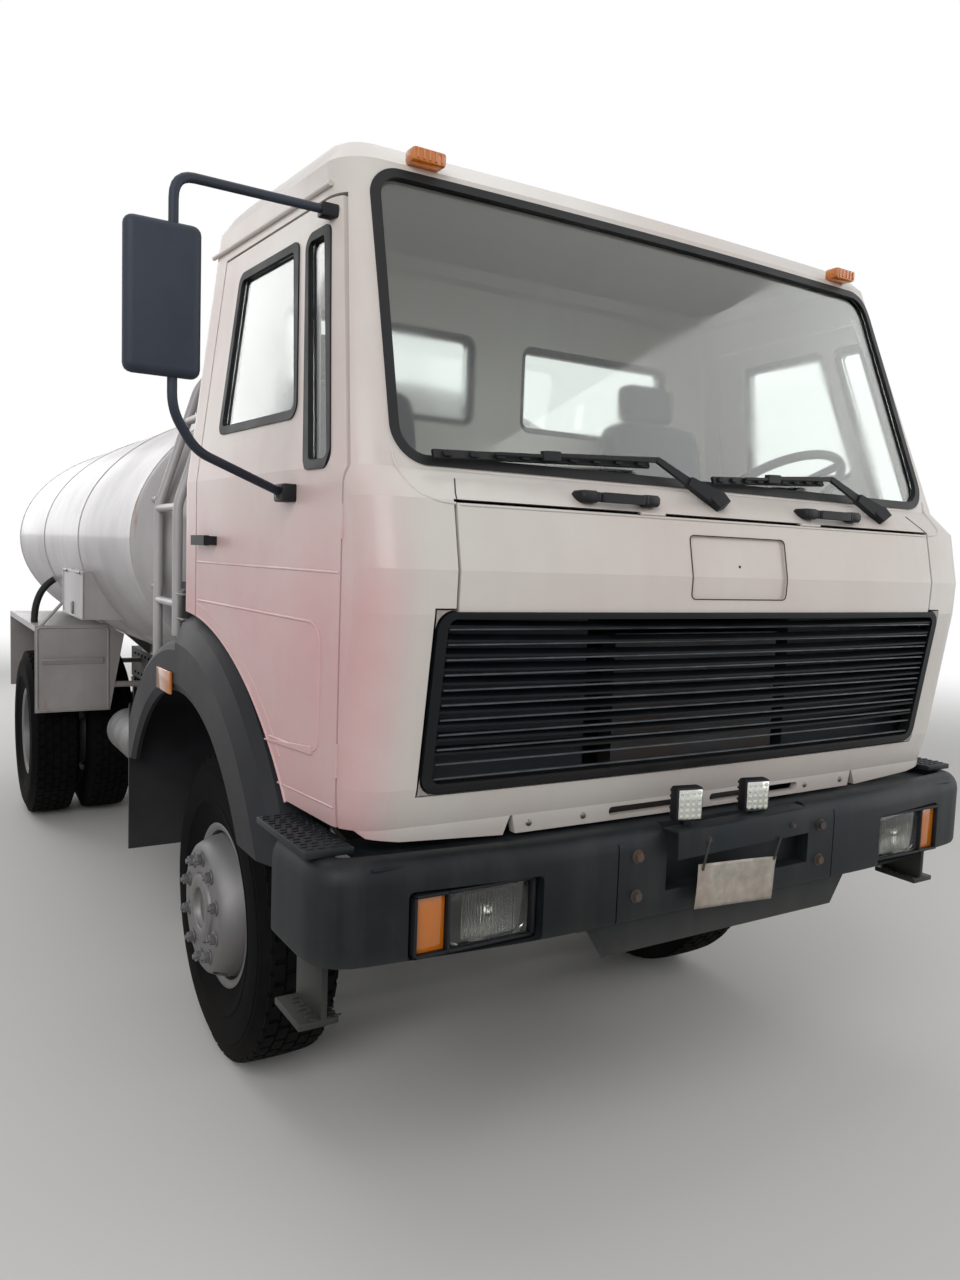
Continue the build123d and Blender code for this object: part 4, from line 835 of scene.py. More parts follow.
TYRE_SIDE = (
    # (x from the tyre's middle, radius), from the bead to the tread
    (100, 259), (107, 272), (109, 286), (122, 318), (132, 350),
    (135, 354), (136, 362), (134, 366), (137.5, 396), (137.5, 420),
    (134, 448), (130, 452), (129, 462), (125, 466), (117, 490),
)
TREAD_RADIUS = 515.0
TREAD_SHOULDER = 110.0
TREAD_EDGES = (98, 66, 58, 26, 18)
# Outer and inner edge of each row of blocks
TREAD_ROWS = ((110, 98), (98, 66), (58, 26), (18, -18))
STEPS_PER_BLOCK = 4
RIM = (
    # (x from the wheel's middle, radius), a closed section
    (100, 257.5), (100, 276), (108, 277), (109, 270), (107, 262),
    (100, 250), (70, 246), (-100, 246), (-108, 262), (-108, 276),
    (-100, 276), (-100, 257.5),
)
DISC = (
    # (x from the disc's mounting face, radius), a closed section
    (0, 118), (14, 118), (15, 190), (13, 204), (5, 215), (-12, 224),
    (-40, 234), (-80, 242), (-118, 248), (-134, 248), (-92, 236),
    (-44, 226), (-14, 212), (0, 192),
)
DISC_THICKNESS = 15.0
FRONT_HUB = (
    # (x from the disc's mounting face, radius), a closed section
    (2, 0.1), (2, 60), (10, 66), (22, 68), (26, 74), (27, 100),
    (22, 112), (12, 117), (0, 117), (-40, 100), (-40, 0.1),
)
REAR_HUB = (
    # (x from the disc's mounting face, radius), a closed section
    (178, 0.1), (178, 72), (172, 84), (70, 92), (58, 100), (40, 117),
    (0, 117), (0, 0.1),
)
STUDS = 10
# Radii in metres of the ring of studs, of the ring of hand holes, and of a hand hole
STUD_RING = 0.1675
HOLE_RING = 0.222
HOLE_RADIUS = 0.024
AXLE_HEIGHT = WHEEL_Z / MM
REAR_Y = WHEELBASE / MM
Wheel = namedtuple("Wheel", "kind x y body tyre_node node face_x way holes hub")
WHEELS = (
    Wheel("front", 905, 0, "front_wheel", "tyre_front", "wheel_front", 160, 1, 2, FRONT_HUB),
    Wheel("rear", 1112, REAR_Y, "rear_wheels", "tyres_rear", "wheels_rear", -160, -1, 4,
          REAR_HUB),
    Wheel("inner", 792, REAR_Y, "rear_wheels", None, None, 160, 1, 4, None),
)


class TyresOperator(bpy.types.Operator):
    """Six tyres with ribbed treads and moulded side walls"""
    bl_idname = "tanker.tyres"
    bl_label = "Tyres"

    def execute(self, context):
        for side, word in SIDES:
            for wheel in WHEELS:
                self.add_tyre(f"tread_{wheel.kind}_{word}", side,
                              at(side * wheel.x, wheel.y, AXLE_HEIGHT), f"{wheel.body}_{word}",
                              (f"{wheel.tyre_node}_{word}",) if wheel.tyre_node else ())
        return {"FINISHED"}

    def add_tyre(self, name, side, centre, body, nodes):
        """One tyre: its section spun, then its ribs cut into raised blocks."""
        depth = sizes().tread_depth / MM
        base = TREAD_RADIUS - depth
        crown = [(x, base + 2.0 - 3.0 * (x / TREAD_EDGES[0]) ** 2) for x in TREAD_EDGES]
        half = [*TYRE_SIDE, (TREAD_SHOULDER, base - 4.0), *crown]
        profile = half + [(-x, r) for x, r in reversed(half)]
        bm = bmesh.new()
        steps = sizes().tread_blocks * STEPS_PER_BLOCK
        spin_ring(bm, profile, centre, side, steps)
        bmesh.ops.remove_doubles(bm, verts=bm.verts, dist=1e-5)
        blocks = []
        for face in bm.faces:
            middle = face.calc_center_median() - centre
            if math.hypot(middle.y, middle.z) / MM < base - 8:
                continue
            across = abs(middle.x) / MM
            step = int((math.atan2(middle.y, middle.z) % math.tau) / math.tau * steps)
            for row, (outer, inner) in enumerate(TREAD_ROWS):
                if inner <= across <= outer and (step + 2 * row) % STEPS_PER_BLOCK != 0:
                    blocks.append(face)
        grown = bmesh.ops.extrude_face_region(bm, geom=blocks)
        for vertex in [g for g in grown["geom"] if isinstance(g, bmesh.types.BMVert)]:
            away = Vector((0, vertex.co.y - centre.y, vertex.co.z - centre.z)).normalized()
            vertex.co += away * (depth - 2.0) * MM
        bmesh.ops.delete(bm, geom=blocks, context="FACES")
        make_piece(name, bm, "tyre", body, nodes, angle=math.radians(28))


class WheelsOperator(bpy.types.Operator):
    """Dished steel wheels with their hubs, hand holes, nuts and stud ends"""
    bl_idname = "tanker.wheels"
    bl_label = "Wheels"

    def execute(self, context):
        for side, word in SIDES:
            for wheel in WHEELS:
                self.add_wheel(wheel, side, word)
        return {"FINISHED"}

    def add_wheel(self, wheel, side, word):
        """One wheel: rim, disc with hand holes, and where it shows the hub and nuts."""
        name, body = f"rim_{wheel.kind}_{word}", f"{wheel.body}_{word}"
        centre = at(side * wheel.x, wheel.y, AXLE_HEIGHT)
        bm = bmesh.new()
        spin_ring(bm, RIM, centre, side, 96)
        make_piece(name + "_rim", bm, "wheel", body,
                   (f"{wheel.node}_{word}",) if wheel.node else (), bevel=0.0012)
        bm = bmesh.new()
        spin_ring(bm, [(wheel.face_x + wheel.way * x, r) for x, r in DISC], centre, side, 96)
        disc = make_piece(name + "_disc", bm, "wheel", body)
        self.cut_holes(disc, side, centre, wheel.face_x - wheel.way * 20.0, wheel.holes)
        if wheel.hub is None:
            return
        bm = bmesh.new()
        spin_ring(bm, [(wheel.face_x + x, r) for x, r in wheel.hub], centre, side, 72)
        make_piece(name + "_hub", bm, "wheel", body, bevel=0.0015)
        bm = bmesh.new()
        width = sizes().nut_width
        seat_x = wheel.face_x + (DISC_THICKNESS if wheel.way > 0 else 0.0)
        for i in range(STUDS):
            turn = math.tau * (i + 0.5) / STUDS
            spot = centre + Vector((side * seat_x * MM, STUD_RING * math.cos(turn),
                                    STUD_RING * math.sin(turn)))
            put_bolt(bm, spot, (side, 0, 0), width, width * 0.42, width * 0.34)
        make_piece(name + "_nuts", bm, "nut", body, bevel=0.0008, merge=False)

    def cut_holes(self, piece, side, centre, x, count):
        """Cut the round hand holes through a disc's shoulder."""
        bm = bmesh.new()
        for i in range(count):
            turn = math.radians(240) + math.tau * i / count
            away = Vector((0, math.cos(turn), math.sin(turn)))
            spot = centre + Vector((side * x * MM, 0, 0)) + away * HOLE_RING
            tilt = (away + Vector((side * 0.9, 0, 0))).normalized()
            put_cone(bm, turned(spot, tilt), 28, HOLE_RADIUS, HOLE_RADIUS, 0.12)
        cut_by(piece, bm)


# Cab outside, in millimetres

SWAGE = (
    # (y, z) of the pressed line round the door's lower field
    (-172, 1566), (-996, 1561), (-1032, 1530), (-1034, 1262),
    (-1000, 1246), (-745, 1240),
)
ARCH_CENTRE_Z = 490.0
ARCH_LIPS = (
    # (radius, first angle, last angle), the angles in degrees from straight up, forwards
    (1041, 9.5, 55),
    (1076, 9, 49),
)
FOOT_CREASE = ((-800, 1128), (-1120, 1136))
WAIST_CREASE = ((-158, 1684), (-1122, 1684))
GUTTER = ((-29, 2641), (-856, 2637))
BADGE_RECESS = (
    # (x, z) round the recess, with a point where each of its sides crosses the crease
    (0, 1641), (180, 1641), (180, 1700), (180, 1808), (0, 1808), (-180, 1808), (-180, 1700),
    (-180, 1641), (0, 1641),
)
CORNER_FOLD = (
    # (x, z) of the folded edge from the flap's corner up to the windscreen
    (876, 1850), (909, 1852), (943, 1860), (961, 1872), (972, 1888), (978, 1905), (984, 1932),
    (990, 1965),
)
CORNER_SEAM = ((872, 1859), (866, 1874), (856, 1892), (846, 1910))
GUSSET_X = 929
GUSSET_SIZE = 44.0
# Height of the grille opening's corners, and the way each one faces
GUSSET_CORNERS = ((1610, 1), (1172, -1))
GRAB_HANDLE_ENDS = (304, 500)


class CabTrimOperator(bpy.types.Operator):
    """Pressed lines, gutters, folds, badge recess, intake boot, screws and grab handles"""
    bl_idname = "tanker.cab_trim"
    bl_label = "Cab Trim"

    def execute(self, context):
        height = sizes().bead_height
        for side, word in SIDES:
            body = f"door_{word}"
            self.add_line(f"swage_{word}", side, SWAGE, -1.0, height, body, 0.03)
            for i, (radius, first, last) in enumerate(ARCH_LIPS):
                arc = [math.radians(first + (last - first) * k / 20) for k in range(21)]
                lip = [(-radius * math.sin(a), ARCH_CENTRE_Z + radius * math.cos(a)) for a in arc]
                self.add_line(f"arch_lip_{i}_{word}", side, lip, -1.0, height * (1.2 - 0.4 * i),
                              body)
            wedge = bmesh.new()
            put_bar(wedge, on_side(side, -1004, 1250, -1.0), on_side(side, -716, 1228, -1.0),
                    0.022, 0.005, 0.012, (side, 0, 0))
            make_piece(f"wedge_{word}", wedge, "cab", body, bevel=0.002)
            self.add_line(f"foot_crease_{word}", side, FOOT_CREASE, -1.5, height * 0.8, body)
            self.add_line(f"crease_{word}", side, WAIST_CREASE, -2.0, height, body)
            self.add_line(f"gutter_{word}", side, GUTTER, 4.0, 0.007, "chassis")
        self.add_badge_recess()
        self.add_front_lines()
        self.add_intake_boot()
        self.add_screws()
        self.add_grab_handles()
        return {"FINISHED"}

    def add_line(self, name, side, points, off, radius, body, bend=0.0):
        """Pressed line through (y, z) points on the cab's side, its middle off the surface."""
        line = [on_side(side, y, z, off) for y, z in points]
        bent_tube(name, line, radius, "cab", body, bend)

    def add_badge_recess(self):
        """Dark line round the bare badge recess, and its one empty hole."""
        line = soften([on_front(x, z, 0.7) for x, z in BADGE_RECESS], 0.016)
        bent_tube("badge_line", line[:-1], 0.0016, "gap", "flap", closed=True)
        bm = bmesh.new()
        put_dome(bm, on_front(2, 1729, -7.0), (0, -1, 0), 0.0045, 0.3)
        make_piece("badge_hole", bm, "gap", "flap")

    def add_front_lines(self):
        """Folded edge above the flap, the seams over it and the grille's corner gussets."""
        fold = [on_front(x, 1848, 0.2) for x in range(-864, 865, 36)]
        bent_tube("fold_flap", fold, 0.0032, "cab", "flap")
        bm = bmesh.new()
        for side, word in SIDES:
            line = [on_front(side * x, z, 0.0) for x, z in CORNER_FOLD]
            bent_tube(f"fold_corner_{word}", line, 0.0032, "cab", bend=0.02)
            seam = [on_front(side * x, z, 0.3) for x, z in CORNER_SEAM]
            bent_tube(f"seam_{word}", seam, 0.0016, "gap")
            for z, way in GUSSET_CORNERS:
                arc = [math.radians(90.0 * k / 8) for k in range(9)]
                edge = [(GUSSET_X, z)] + [(GUSSET_X - GUSSET_SIZE * (1 - math.sin(a)),
                                           z - way * GUSSET_SIZE * (1 - math.cos(a))) for a in arc]
                face = [bm.verts.new(on_front(side * u, v, 1.0)) for u, v in edge]
                bmesh.ops.solidify(bm, geom=[bm.faces.new(face)], thickness=0.004)
        make_piece("grille_gussets", bm, "cab", "flap", merge=False)

    def add_intake_boot(self):
        """Rubber boot on the air intake, with its clamp bands."""
        block_piece("intake_boot", "rubber", [((-1142, 36, 1462), (-1064, 118, 1592), 0.024, 3)])
        block_piece("intake_bands", "zinc", [((-1145, 33, z), (-1062, 121, z + 9), 0.004)
                                             for z in (1484, 1566)], merge=False)

    def add_screws(self):
        """Screws of the valance strip."""
        bm = bmesh.new()
        for x in (-600, -430, 430, 600):
            put_dome(bm, on_front(x, 1068, 0.5), (0, -1, 0), 0.009, 0.4)
        make_piece("valance_screws", bm, "zinc")

    def add_grab_handles(self):
        """Moulded grab handles: a bar between two bolted pads."""
        for side, word in SIDES:
            bm, bolts = bmesh.new(), bmesh.new()
            low, high = sorted(side * x for x in GRAB_HANDLE_ENDS)
            grip = [on_front(x, 1889, off) for x, off in
                    ((low, 24), (low + 30, 38), (high - 30, 38), (high, 24))]
            for start, end in zip(grip, grip[1:]):
                put_bar(bm, start, end, 0.024, 0.024, 0.020)
            for x in (low, high):
                put_box(bm, on_front(x - 27, 1874, 26), on_front(x + 27, 1904, 2), 0.009)
                for offset in (-12, 12):
                    put_dome(bolts, on_front(x + offset, 1888, 27), (0, -1, 0.2), 0.006, 0.5)
            make_piece(f"grab_handle_{word}", bm, "plastic", "chassis",
                       ("grab_handles",) if side < 0 else (), bevel=0.005, merge=False)
            make_piece(f"grab_bolts_{word}", bolts, "plastic", merge=False)


LOUVRES = 11
# Foot and top of the grille, and its frame's height in all and at the foot
GRILLE_LOW = 1176.0
GRILLE_HIGH = 1606.0
GRILLE_FRAME = 38.0
GRILLE_FRAME_FOOT = 16.0
LOUVRE_HALF_LENGTH = 892.0


class GrilleOperator(bpy.types.Operator):
    """Pale strips along the grille's louvres, a painted highlight on their front edges"""
    bl_idname = "tanker.grille"
    bl_label = "Grille Edges"

    def execute(self, context):
        bm = bmesh.new()
        pitch = (GRILLE_HIGH - GRILLE_LOW - GRILLE_FRAME) / LOUVRES
        half = sizes().louvre_edge / MM / 2
        for i in range(LOUVRES):
            z = GRILLE_LOW + GRILLE_FRAME_FOOT + pitch * (i + 0.5)
            path = [(x, front_y(x, z)) for x in
                    (LOUVRE_HALF_LENGTH * (k / 14.0 - 1.0) for k in range(29))]
            sweep(bm, [(-4.0, z - half), (1.8, z - half * 0.6), (1.8, z + half * 0.6),
                       (-4.0, z + half)], path)
        # The pale strips are a painted highlight on the louvres' front edges
        make_piece("louvre_edges", bm, "louvre_edge", "flap", bevel=0.0008)
        return {"FINISHED"}


WIPERS = (
    # (x of the pivot, of the elbow, and of the blade's two ends)
    (-44, -243, -900, -255),
    (666, 455, -30, 440),
)
WIPER_RISE = 26


class WipersOperator(bpy.types.Operator):
    """Wiper arms with spring heads, bridges and rubber blades"""
    bl_idname = "tanker.wipers"
    bl_label = "Wipers"

    def execute(self, context):
        arms, rubbers = bmesh.new(), bmesh.new()
        for pivot, elbow, low, high in WIPERS:
            middle = (low + high) / 2
            blade = [on_front(low + (high - low) * i / 4, 1964 + WIPER_RISE * i / 4, 26)
                     for i in range(5)]
            put_bar(rubbers, blade[0], blade[4], 0.009, 0.009, 0.020, (0, -0.35, -1))
            bars = (
                # (start and end as (x, z, off), width at the start, width at the end, depth)
                ((pivot + 6, 1886, 14), (pivot - 8, 1914, 26), 0.044, 0.050, 0.042),
                ((pivot - 4, 1908, 28), (pivot - 95, 1952, 42), 0.044, 0.026, 0.026),
                ((pivot - 85, 1946, 41), (elbow, 2004, 47), 0.024, 0.015, 0.012),
                ((elbow + 4, 2002, 47), (middle, 1986, 42), 0.015, 0.011, 0.008),
                ((middle + 26, 1985, 38), (middle - 26, 1983, 38), 0.024, 0.024, 0.018),
            )
            for start, end, *measures in bars:
                put_bar(arms, on_front(*start), on_front(*end), *measures)
            rise = Vector((0, -0.012, 0.006))
            put_bar(arms, blade[1] + rise, blade[3] + rise, 0.009, 0.009, 0.008)
            for i in range(9):
                spot = blade[0].lerp(blade[4], (i + 0.5) / 9)
                put_bar(arms, spot + Vector((-0.012, -0.008, 0.002)),
                        spot + Vector((0.012, -0.008, 0.002)), 0.013, 0.013, 0.010)
        make_piece("wiper_arms", arms, "plastic", "chassis", ("wipers",), bevel=0.0025,
                   merge=False)
        make_piece("wiper_rubbers", rubbers, "rubber", merge=False)
        return {"FINISHED"}


# Lamps, in millimetres

HEADLAMP_Z = (830, 962)
BEZEL_BARS = (
    # (lowest and highest x, lowest and highest z)
    (645, 976, 822, 830),
    (645, 976, 962, 970),
    (645, 655, 822, 970),
    (968, 976, 822, 970),
    (882, 890, 822, 970),
)


class LampsOperator(bpy.types.Operator):
    """Headlamps, indicators, markers and tail lamps"""
    bl_idname = "tanker.lamps"
    bl_label = "Lamps"

    def execute(self, context):
        lens, amber, bowl = bmesh.new(), bmesh.new(), bmesh.new()
        for side in (-1, 1):
            self.put_ribbed(lens, side, 660, 880, -1312.0)
            self.put_ribbed(amber, side, 892, 966, -1310.0)
            self.put_bowl(bowl, side, 656, 884)
            put_block(amber, (750, -952, 2706), (846, -900, 2742), 0.009, side=side)
            for i in range(5):
                x = side * (765 + i * 17)
                put_box(amber, at(x - 2.5, -955, 2711), at(x + 2.5, -948, 2737), 0.001, 1)
            put_block(amber, (1172, 44, 1240), (1183, 226, 1316), 0.004, side=side)
        make_piece("headlamp_glasses", lens, "lamp_glass", "chassis", ("headlamps",), bevel=0.0008)
        make_piece("amber_lenses", amber, "amber", "chassis", ("amber_lamps",), bevel=0.0008)
        make_piece("headlamp_bowls", bowl, "chrome")
        block_piece("headlamp_bezels", "plastic", [
            ((x0, -1322, z0), (x1, -1291, z1), 0.002) for x0, x1, z0, z1 in BEZEL_BARS],
            sides=(-1, 1))
        block_piece("tail_lenses", "red", [
            ((x, 4466, 513), (x + 50, 4483, 587), 0.004) for x in (934, 990, 1046)],
            "chassis", ("tail_lamps",), sides=(-1, 1))
        block_piece("tail_frames", "plastic", [((930, 4465, 508), (1100, 4474, 592), 0.003)],
                    sides=(-1, 1))
        return {"FINISHED"}

    def put_ribbed(self, bm, side, x0, x1, face_y):
        """Lens with upright ribs moulded into its face."""
        z0, z1 = HEADLAMP_Z
        put_block(bm, (x0, face_y, z0), (x1, face_y + 5, z1), 0.003, side=side)
        inset = (x1 - x0) * 0.16
        count = round((x1 - x0 - 2 * inset) * MM / sizes().lens_rib)
        pitch = (x1 - x0 - 2 * inset) / count
        for i in range(count):
            middle = at(side * (x0 + inset + (i + 0.5) * pitch), face_y + 5.5, (z0 + z1) / 2)
            put_cone(bm, Matrix.Translation(middle), 8, pitch * MM / 2, pitch * MM / 2,
                     (z1 - z0 - 22) * MM)

    def put_bowl(self, bm, side, x0, x1):
        """Bright bowl behind the glass, with the cap of its bulb."""
        grid = bmesh.ops.create_grid(bm, x_segments=20, y_segments=16, size=1.0)["verts"]
        middle_x, middle_z = side * (x0 + x1) / 2, sum(HEADLAMP_Z) / 2
        half_z = (HEADLAMP_Z[1] - HEADLAMP_Z[0]) / 2 + 4
        for vertex in grid:
            u, v = vertex.co.x, vertex.co.y
            round_u = u * math.sqrt(1 - v * v * 0.35)
            round_v = v * math.sqrt(1 - u * u * 0.15)
            deep = 26.0 * max(0.0, 1 - (u * u + v * v) / 2) ** 0.8
            vertex.co = at(middle_x + round_u * (x1 - x0) / 2, -1300 + deep,
                           middle_z + round_v * half_z)
        bmesh.ops.create_uvsphere(
            bm, u_segments=24, v_segments=12, radius=0.017,
            matrix=Matrix.Translation(at(middle_x, -1292, middle_z)))


WORK_LAMPS = ((-190, 1106), (62, 1104))
LED_COLUMNS = 4
LED_ROWS = 5
# Width and height of the blank plate in metres
PLATE_WIDTH = 0.296
PLATE_HEIGHT = 0.121
PLATE_WIRES = (
    # (name, x, lowest and highest z in millimetres)
    ("left", -150, 930, 1016),
    ("right", 122, 922, 988),
)


class WorkLampsOperator(bpy.types.Operator):
    """Square work lamps with their grids of LEDs, and the blank plate hung below"""
    bl_idname = "tanker.work_lamps"
    bl_label = "Work Lamps and Plate"

    def execute(self, context):
        wholes = [bmesh.new() for _ in range(3)]
        turn = Matrix.Rotation(math.radians(-12.0), 4, "Z")
        for x, z in WORK_LAMPS:
            for part, whole in zip(self.lamp_parts(), wholes):
                bmesh.ops.transform(part, matrix=Matrix.Translation(at(x, -1356, z)) @ turn,
                                    verts=part.verts)
                mesh = mesh_of("part", part)
                whole.from_mesh(mesh)
                bpy.data.meshes.remove(mesh)
        housings, boards, leds = wholes
        make_piece("work_lamp_housings", housings, "plastic", "chassis", ("work_lamps",),
                   merge=False)
        make_piece("work_lamp_boards", boards, "chrome", merge=False)
        make_piece("work_lamp_leds", leds, "led", merge=False)
        self.add_bar()
        self.add_plate()
        return {"FINISHED"}

    def lamp_parts(self):
        """Housing, board and lenses of one lamp about its own middle, in metres."""
        housing, board, leds = (bmesh.new() for _ in range(3))
        put_box(housing, (-0.041, -0.006, -0.046), (0.041, 0.030, 0.046), 0.008)
        for i in range(5):
            put_box(housing, (-0.034, 0.028, -0.036 + i * 0.016),
                    (0.034, 0.040, -0.030 + i * 0.016))
        put_box(housing, (-0.010, 0.004, -0.062), (0.010, 0.022, -0.040), 0.002)
        put_box(board, (-0.035, -0.0085, -0.040), (0.035, -0.005, 0.040), 0.002)
        for i in range(LED_COLUMNS):
            for j in range(LED_ROWS):
                spot = Vector((-0.0262 + i * 0.0175, -0.0085, -0.031 + j * 0.0155))
                put_dome(leds, spot, (0, -1, 0), 0.0062, 0.6)
        return housing, board, leds

    def add_bar(self):
        """Bent angle bar that carries the lamps, and its bolts."""
        bm = bmesh.new()
        put_box(bm, (-0.250, -0.026, -0.072), (0.250, -0.021, 0.0), 0.001)
        put_box(bm, (-0.250, -0.024, -0.005), (0.250, 0.034, 0.0), 0.001)
        for x in (-0.13, 0.17):
            put_box(bm, (x - 0.02, 0.0, -0.012), (x + 0.02, 0.066, -0.005), 0.001)
        level = Matrix.Rotation(math.radians(-1.3), 4, "Y")
        bmesh.ops.transform(bm, matrix=Matrix.Translation(at(-6, -1368, 1052)) @ level,
                            verts=bm.verts)
        make_piece("lamp_bar", bm, "bumper", merge=False)
        bm = bmesh.new()
        for x in (-148, 176):
            put_bolt(bm, at(x, -1394, 1016), (0, -1, 0), 0.013)
        make_piece("lamp_bar_bolts", bm, "iron", merge=False)

    def add_plate(self):
        """Blank steel plate, buckled a little, hung from the bar by two wires."""
        bm = bmesh.new()
        bmesh.ops.create_grid(bm, x_segments=22, y_segments=14, size=0.5)
        turn = Matrix.Rotation(math.radians(3.4), 4, "Y")
        middle = at(-21, -1378, 878)
        for vertex in bm.verts:
            x, z = vertex.co.x * PLATE_WIDTH, vertex.co.y * PLATE_HEIGHT
            buckle = 0.003 * math.sin(x * 18 + 1.0) * math.cos(z * 20)
            lift = max(0.0, x - 0.11) * max(0.0, z - 0.03) * 2.5
            vertex.co = middle + turn @ Vector((x, buckle - lift, z))
        make_piece("blank_plate", bm, "plate", sheet=0.0012, angle=math.radians(60))
        for name, x, low, high in PLATE_WIRES:
            hook = [at(x, -1381, low), at(x - 3, -1392, (low + high) / 2), at(x + 2, -1398, high)]
            bent_tube(f"plate_wire_{name}", hook, 0.0032, "gap", bend=0.01)


# Bumper, in millimetres

BUMPER_PATH = (
    # (x, y) along the outer face, from the right end to the middle
    (-1195, -1000), (-1195, -1284), (-640, -1348), (0, -1348),
)
BUMPER_CORNER = 115.0
BUMPER_SECTION = (
    # (out from the face, height), from the rounded foot to the rounded top
    (-9, 814), (-3, 817), (0, 824), (0, 1000), (-3, 1018), (-11, 1034),
    (-24, 1046), (-40, 1050), (-62, 1050), (-62, 814),
)
BUMPER_STEPS = (
    # (low corner, high corner, bevel): upper tread, lower tread and its hanger
    ((1076, -1210, 1050), (1195, -880, 1067), 0.003),
    ((1090, -1180, 640), (1190, -1020, 657), 0.003),
    ((1120, -1180, 655), (1136, -1020, 832), 0.003),
)
# Dark plates behind the bumper reaching back to the cab: painted shade that closes the shaded gap
# below the valance
BUMPER_SHADE_SHELF = (
    # (low corner, high corner, bevel)
    ((-1070, -1296, 1030), (1070, -1186, 1036), 0.002),
    ((-1070, -1190, 1030), (-350, -1060, 1036), 0.002),
    ((350, -1190, 1030), (1070, -1060, 1036), 0.002),
)
APRON = ((-500, 820), (-440, 728), (440, 728), (500, 820))


class BumperOperator(bpy.types.Operator):
    """Bumper with its rounded top, lamp wells, seams, bolts, apron and tread plates"""
    bl_idname = "tanker.bumper"
    bl_label = "Bumper"

    def execute(self, context):
        half = soften([(x, y, 0.0) for x, y in BUMPER_PATH], BUMPER_CORNER)
        path = [(p.x, p.y) for p in half] + [(-p.x, p.y) for p in reversed(half[:-1])]
        bm = bmesh.new()
        sweep(bm, BUMPER_SECTION, path)
        beam = make_piece("bumper_beam", bm, "bumper", "chassis", ("bumper",))
        bm = bmesh.new()
        for side in (-1, 1):
            put_block(bm, (638, -1400, 816), (984, -1292, 976), 0.012, side=side)
            put_block(bm, (410, -1360, 806), (414, -1342, 1060), side=side)
        put_block(bm, (-250, -1400, 880), (300, -1301, 1100))
        cut_by(beam, bm)
        self.add_steps()
        # Dark shelf of painted shade behind the bumper
        block_piece("bumper_shelf", "bumper", BUMPER_SHADE_SHELF, merge=False)
        bm = bmesh.new()
        face = bm.faces.new([bm.verts.new(at(x, -1330, z)) for x, z in APRON])
        bmesh.ops.solidify(bm, geom=[face], thickness=0.038)
        make_piece("bumper_apron", bm, "bumper", bevel=0.006)
        bm = bmesh.new()
        for side in (-1, 1):
            for z in (985, 881):
                put_bolt(bm, at(side * 350, -1347, z), (0, -1, 0), sizes().bolt_width * 1.2)
        make_piece("bumper_bolts", bm, "iron", merge=False)
        return {"FINISHED"}

    def add_steps(self):
        """Steps at the ends with raised treads, and the hangers of the lower ones."""
        bm = bmesh.new()
        for side in (-1, 1):
            for low, high, bevel in BUMPER_STEPS:
                put_block(bm, low, high, bevel, side=side)
            for row in range(4):
                for i in range(15):
                    y = -1192 + i * 21
                    x = side * (1092 + row * 28 + (i % 2) * 7)
                    put_box(bm, at(x - 9, y, 1066), at(x + 9, y + 7, 1070), 0.001, 1)
                    if row < 3 and i < 7:
                        put_box(bm, at(x - 9, y + 15, 656), at(x + 9, y + 22, 660), 0.001, 1)
        make_piece("bumper_steps", bm, "bumper", bevel=0.0008)


SEAT_X = 660
SEAT_PADS = (
    # (part, low corner and high corner from the seat's middle line, lean in degrees)
    ("cushion", (-236, -660, 1672), (236, -168, 1796), 0.0),
    ("back", (-230, -250, 1786), (230, -120, 2280), -8.0),
    ("headrest", (-126, -158, 2288), (126, -88, 2436), -4.0),
)
# Share of its half size by which a pad's side pulls in at the pad's edges
PAD_PULL = 0.05


class SeatsOperator(bpy.types.Operator):
    """Sewn seat cushions, backs and headrests on their plinths"""
    bl_idname = "tanker.seats"
    bl_label = "Seats"

    def execute(self, context):
        for side, word in SIDES:
            x = side * SEAT_X
            for part, low, high, lean in SEAT_PADS:
                self.add_pad(f"seat_{part}_{word}", at(x + low[0], *low[1:]),
                             at(x + high[0], *high[1:]), lean,
                             ("seats",) if side < 0 and part == "cushion" else ())
            block_piece(f"seat_plinth_{word}", "dash",
                        [((x - 198, -560, 1580), (x + 198, -195, 1668), 0.01)])
        return {"FINISHED"}

    def add_pad(self, name, low, high, lean, nodes):
        """Crowned pad whose sides pull in towards their edges."""
        bm = bmesh.new()
        made = put_box(bm, low, high)
        bmesh.ops.subdivide_edges(bm, edges=edges_of(made), cuts=5, use_grid_fill=True)
        middle, half = (low + high) / 2, (high - low) / 2
        turn = Matrix.Rotation(math.radians(lean), 4, "X")
        for vertex in bm.verts:
            away = vertex.co - middle
            u = [away[i] / half[i] for i in range(3)]
            pull = [1.0 - PAD_PULL * (u[(i + 1) % 3] ** 4 + u[(i + 2) % 3] ** 4)
                    for i in range(3)]
            vertex.co = middle + turn @ Vector([away[i] * pull[i] for i in range(3)])
        piece = make_piece(name, bm, "cloth", "chassis", nodes, smoothing=2)


# Tank and chassis detail, in millimetres

TANK_HALF_WIDTH = 1185.0
TANK_HALF_HEIGHT = 718.0
TANK_CENTRE_Z = 1748.0
WELD_SEAMS_Y = (640, 1800, 2960, 4130)
MANHOLE_Y = 2250
MANHOLE_BOLTS = 12
MANHOLE_RING = 214
LOCKER_FRAME = (
    # (low corner, high corner, bevel)
    ((-1199, 1600, 1368), (-1194, 2180, 1380), 0.001),
    ((-1199, 1600, 1582), (-1194, 2180, 1594), 0.001),
    ((-1199, 1594, 1370), (-1194, 1606, 1592), 0.001),
    ((-1199, 2174, 1370), (-1194, 2186, 1592), 0.001),
)


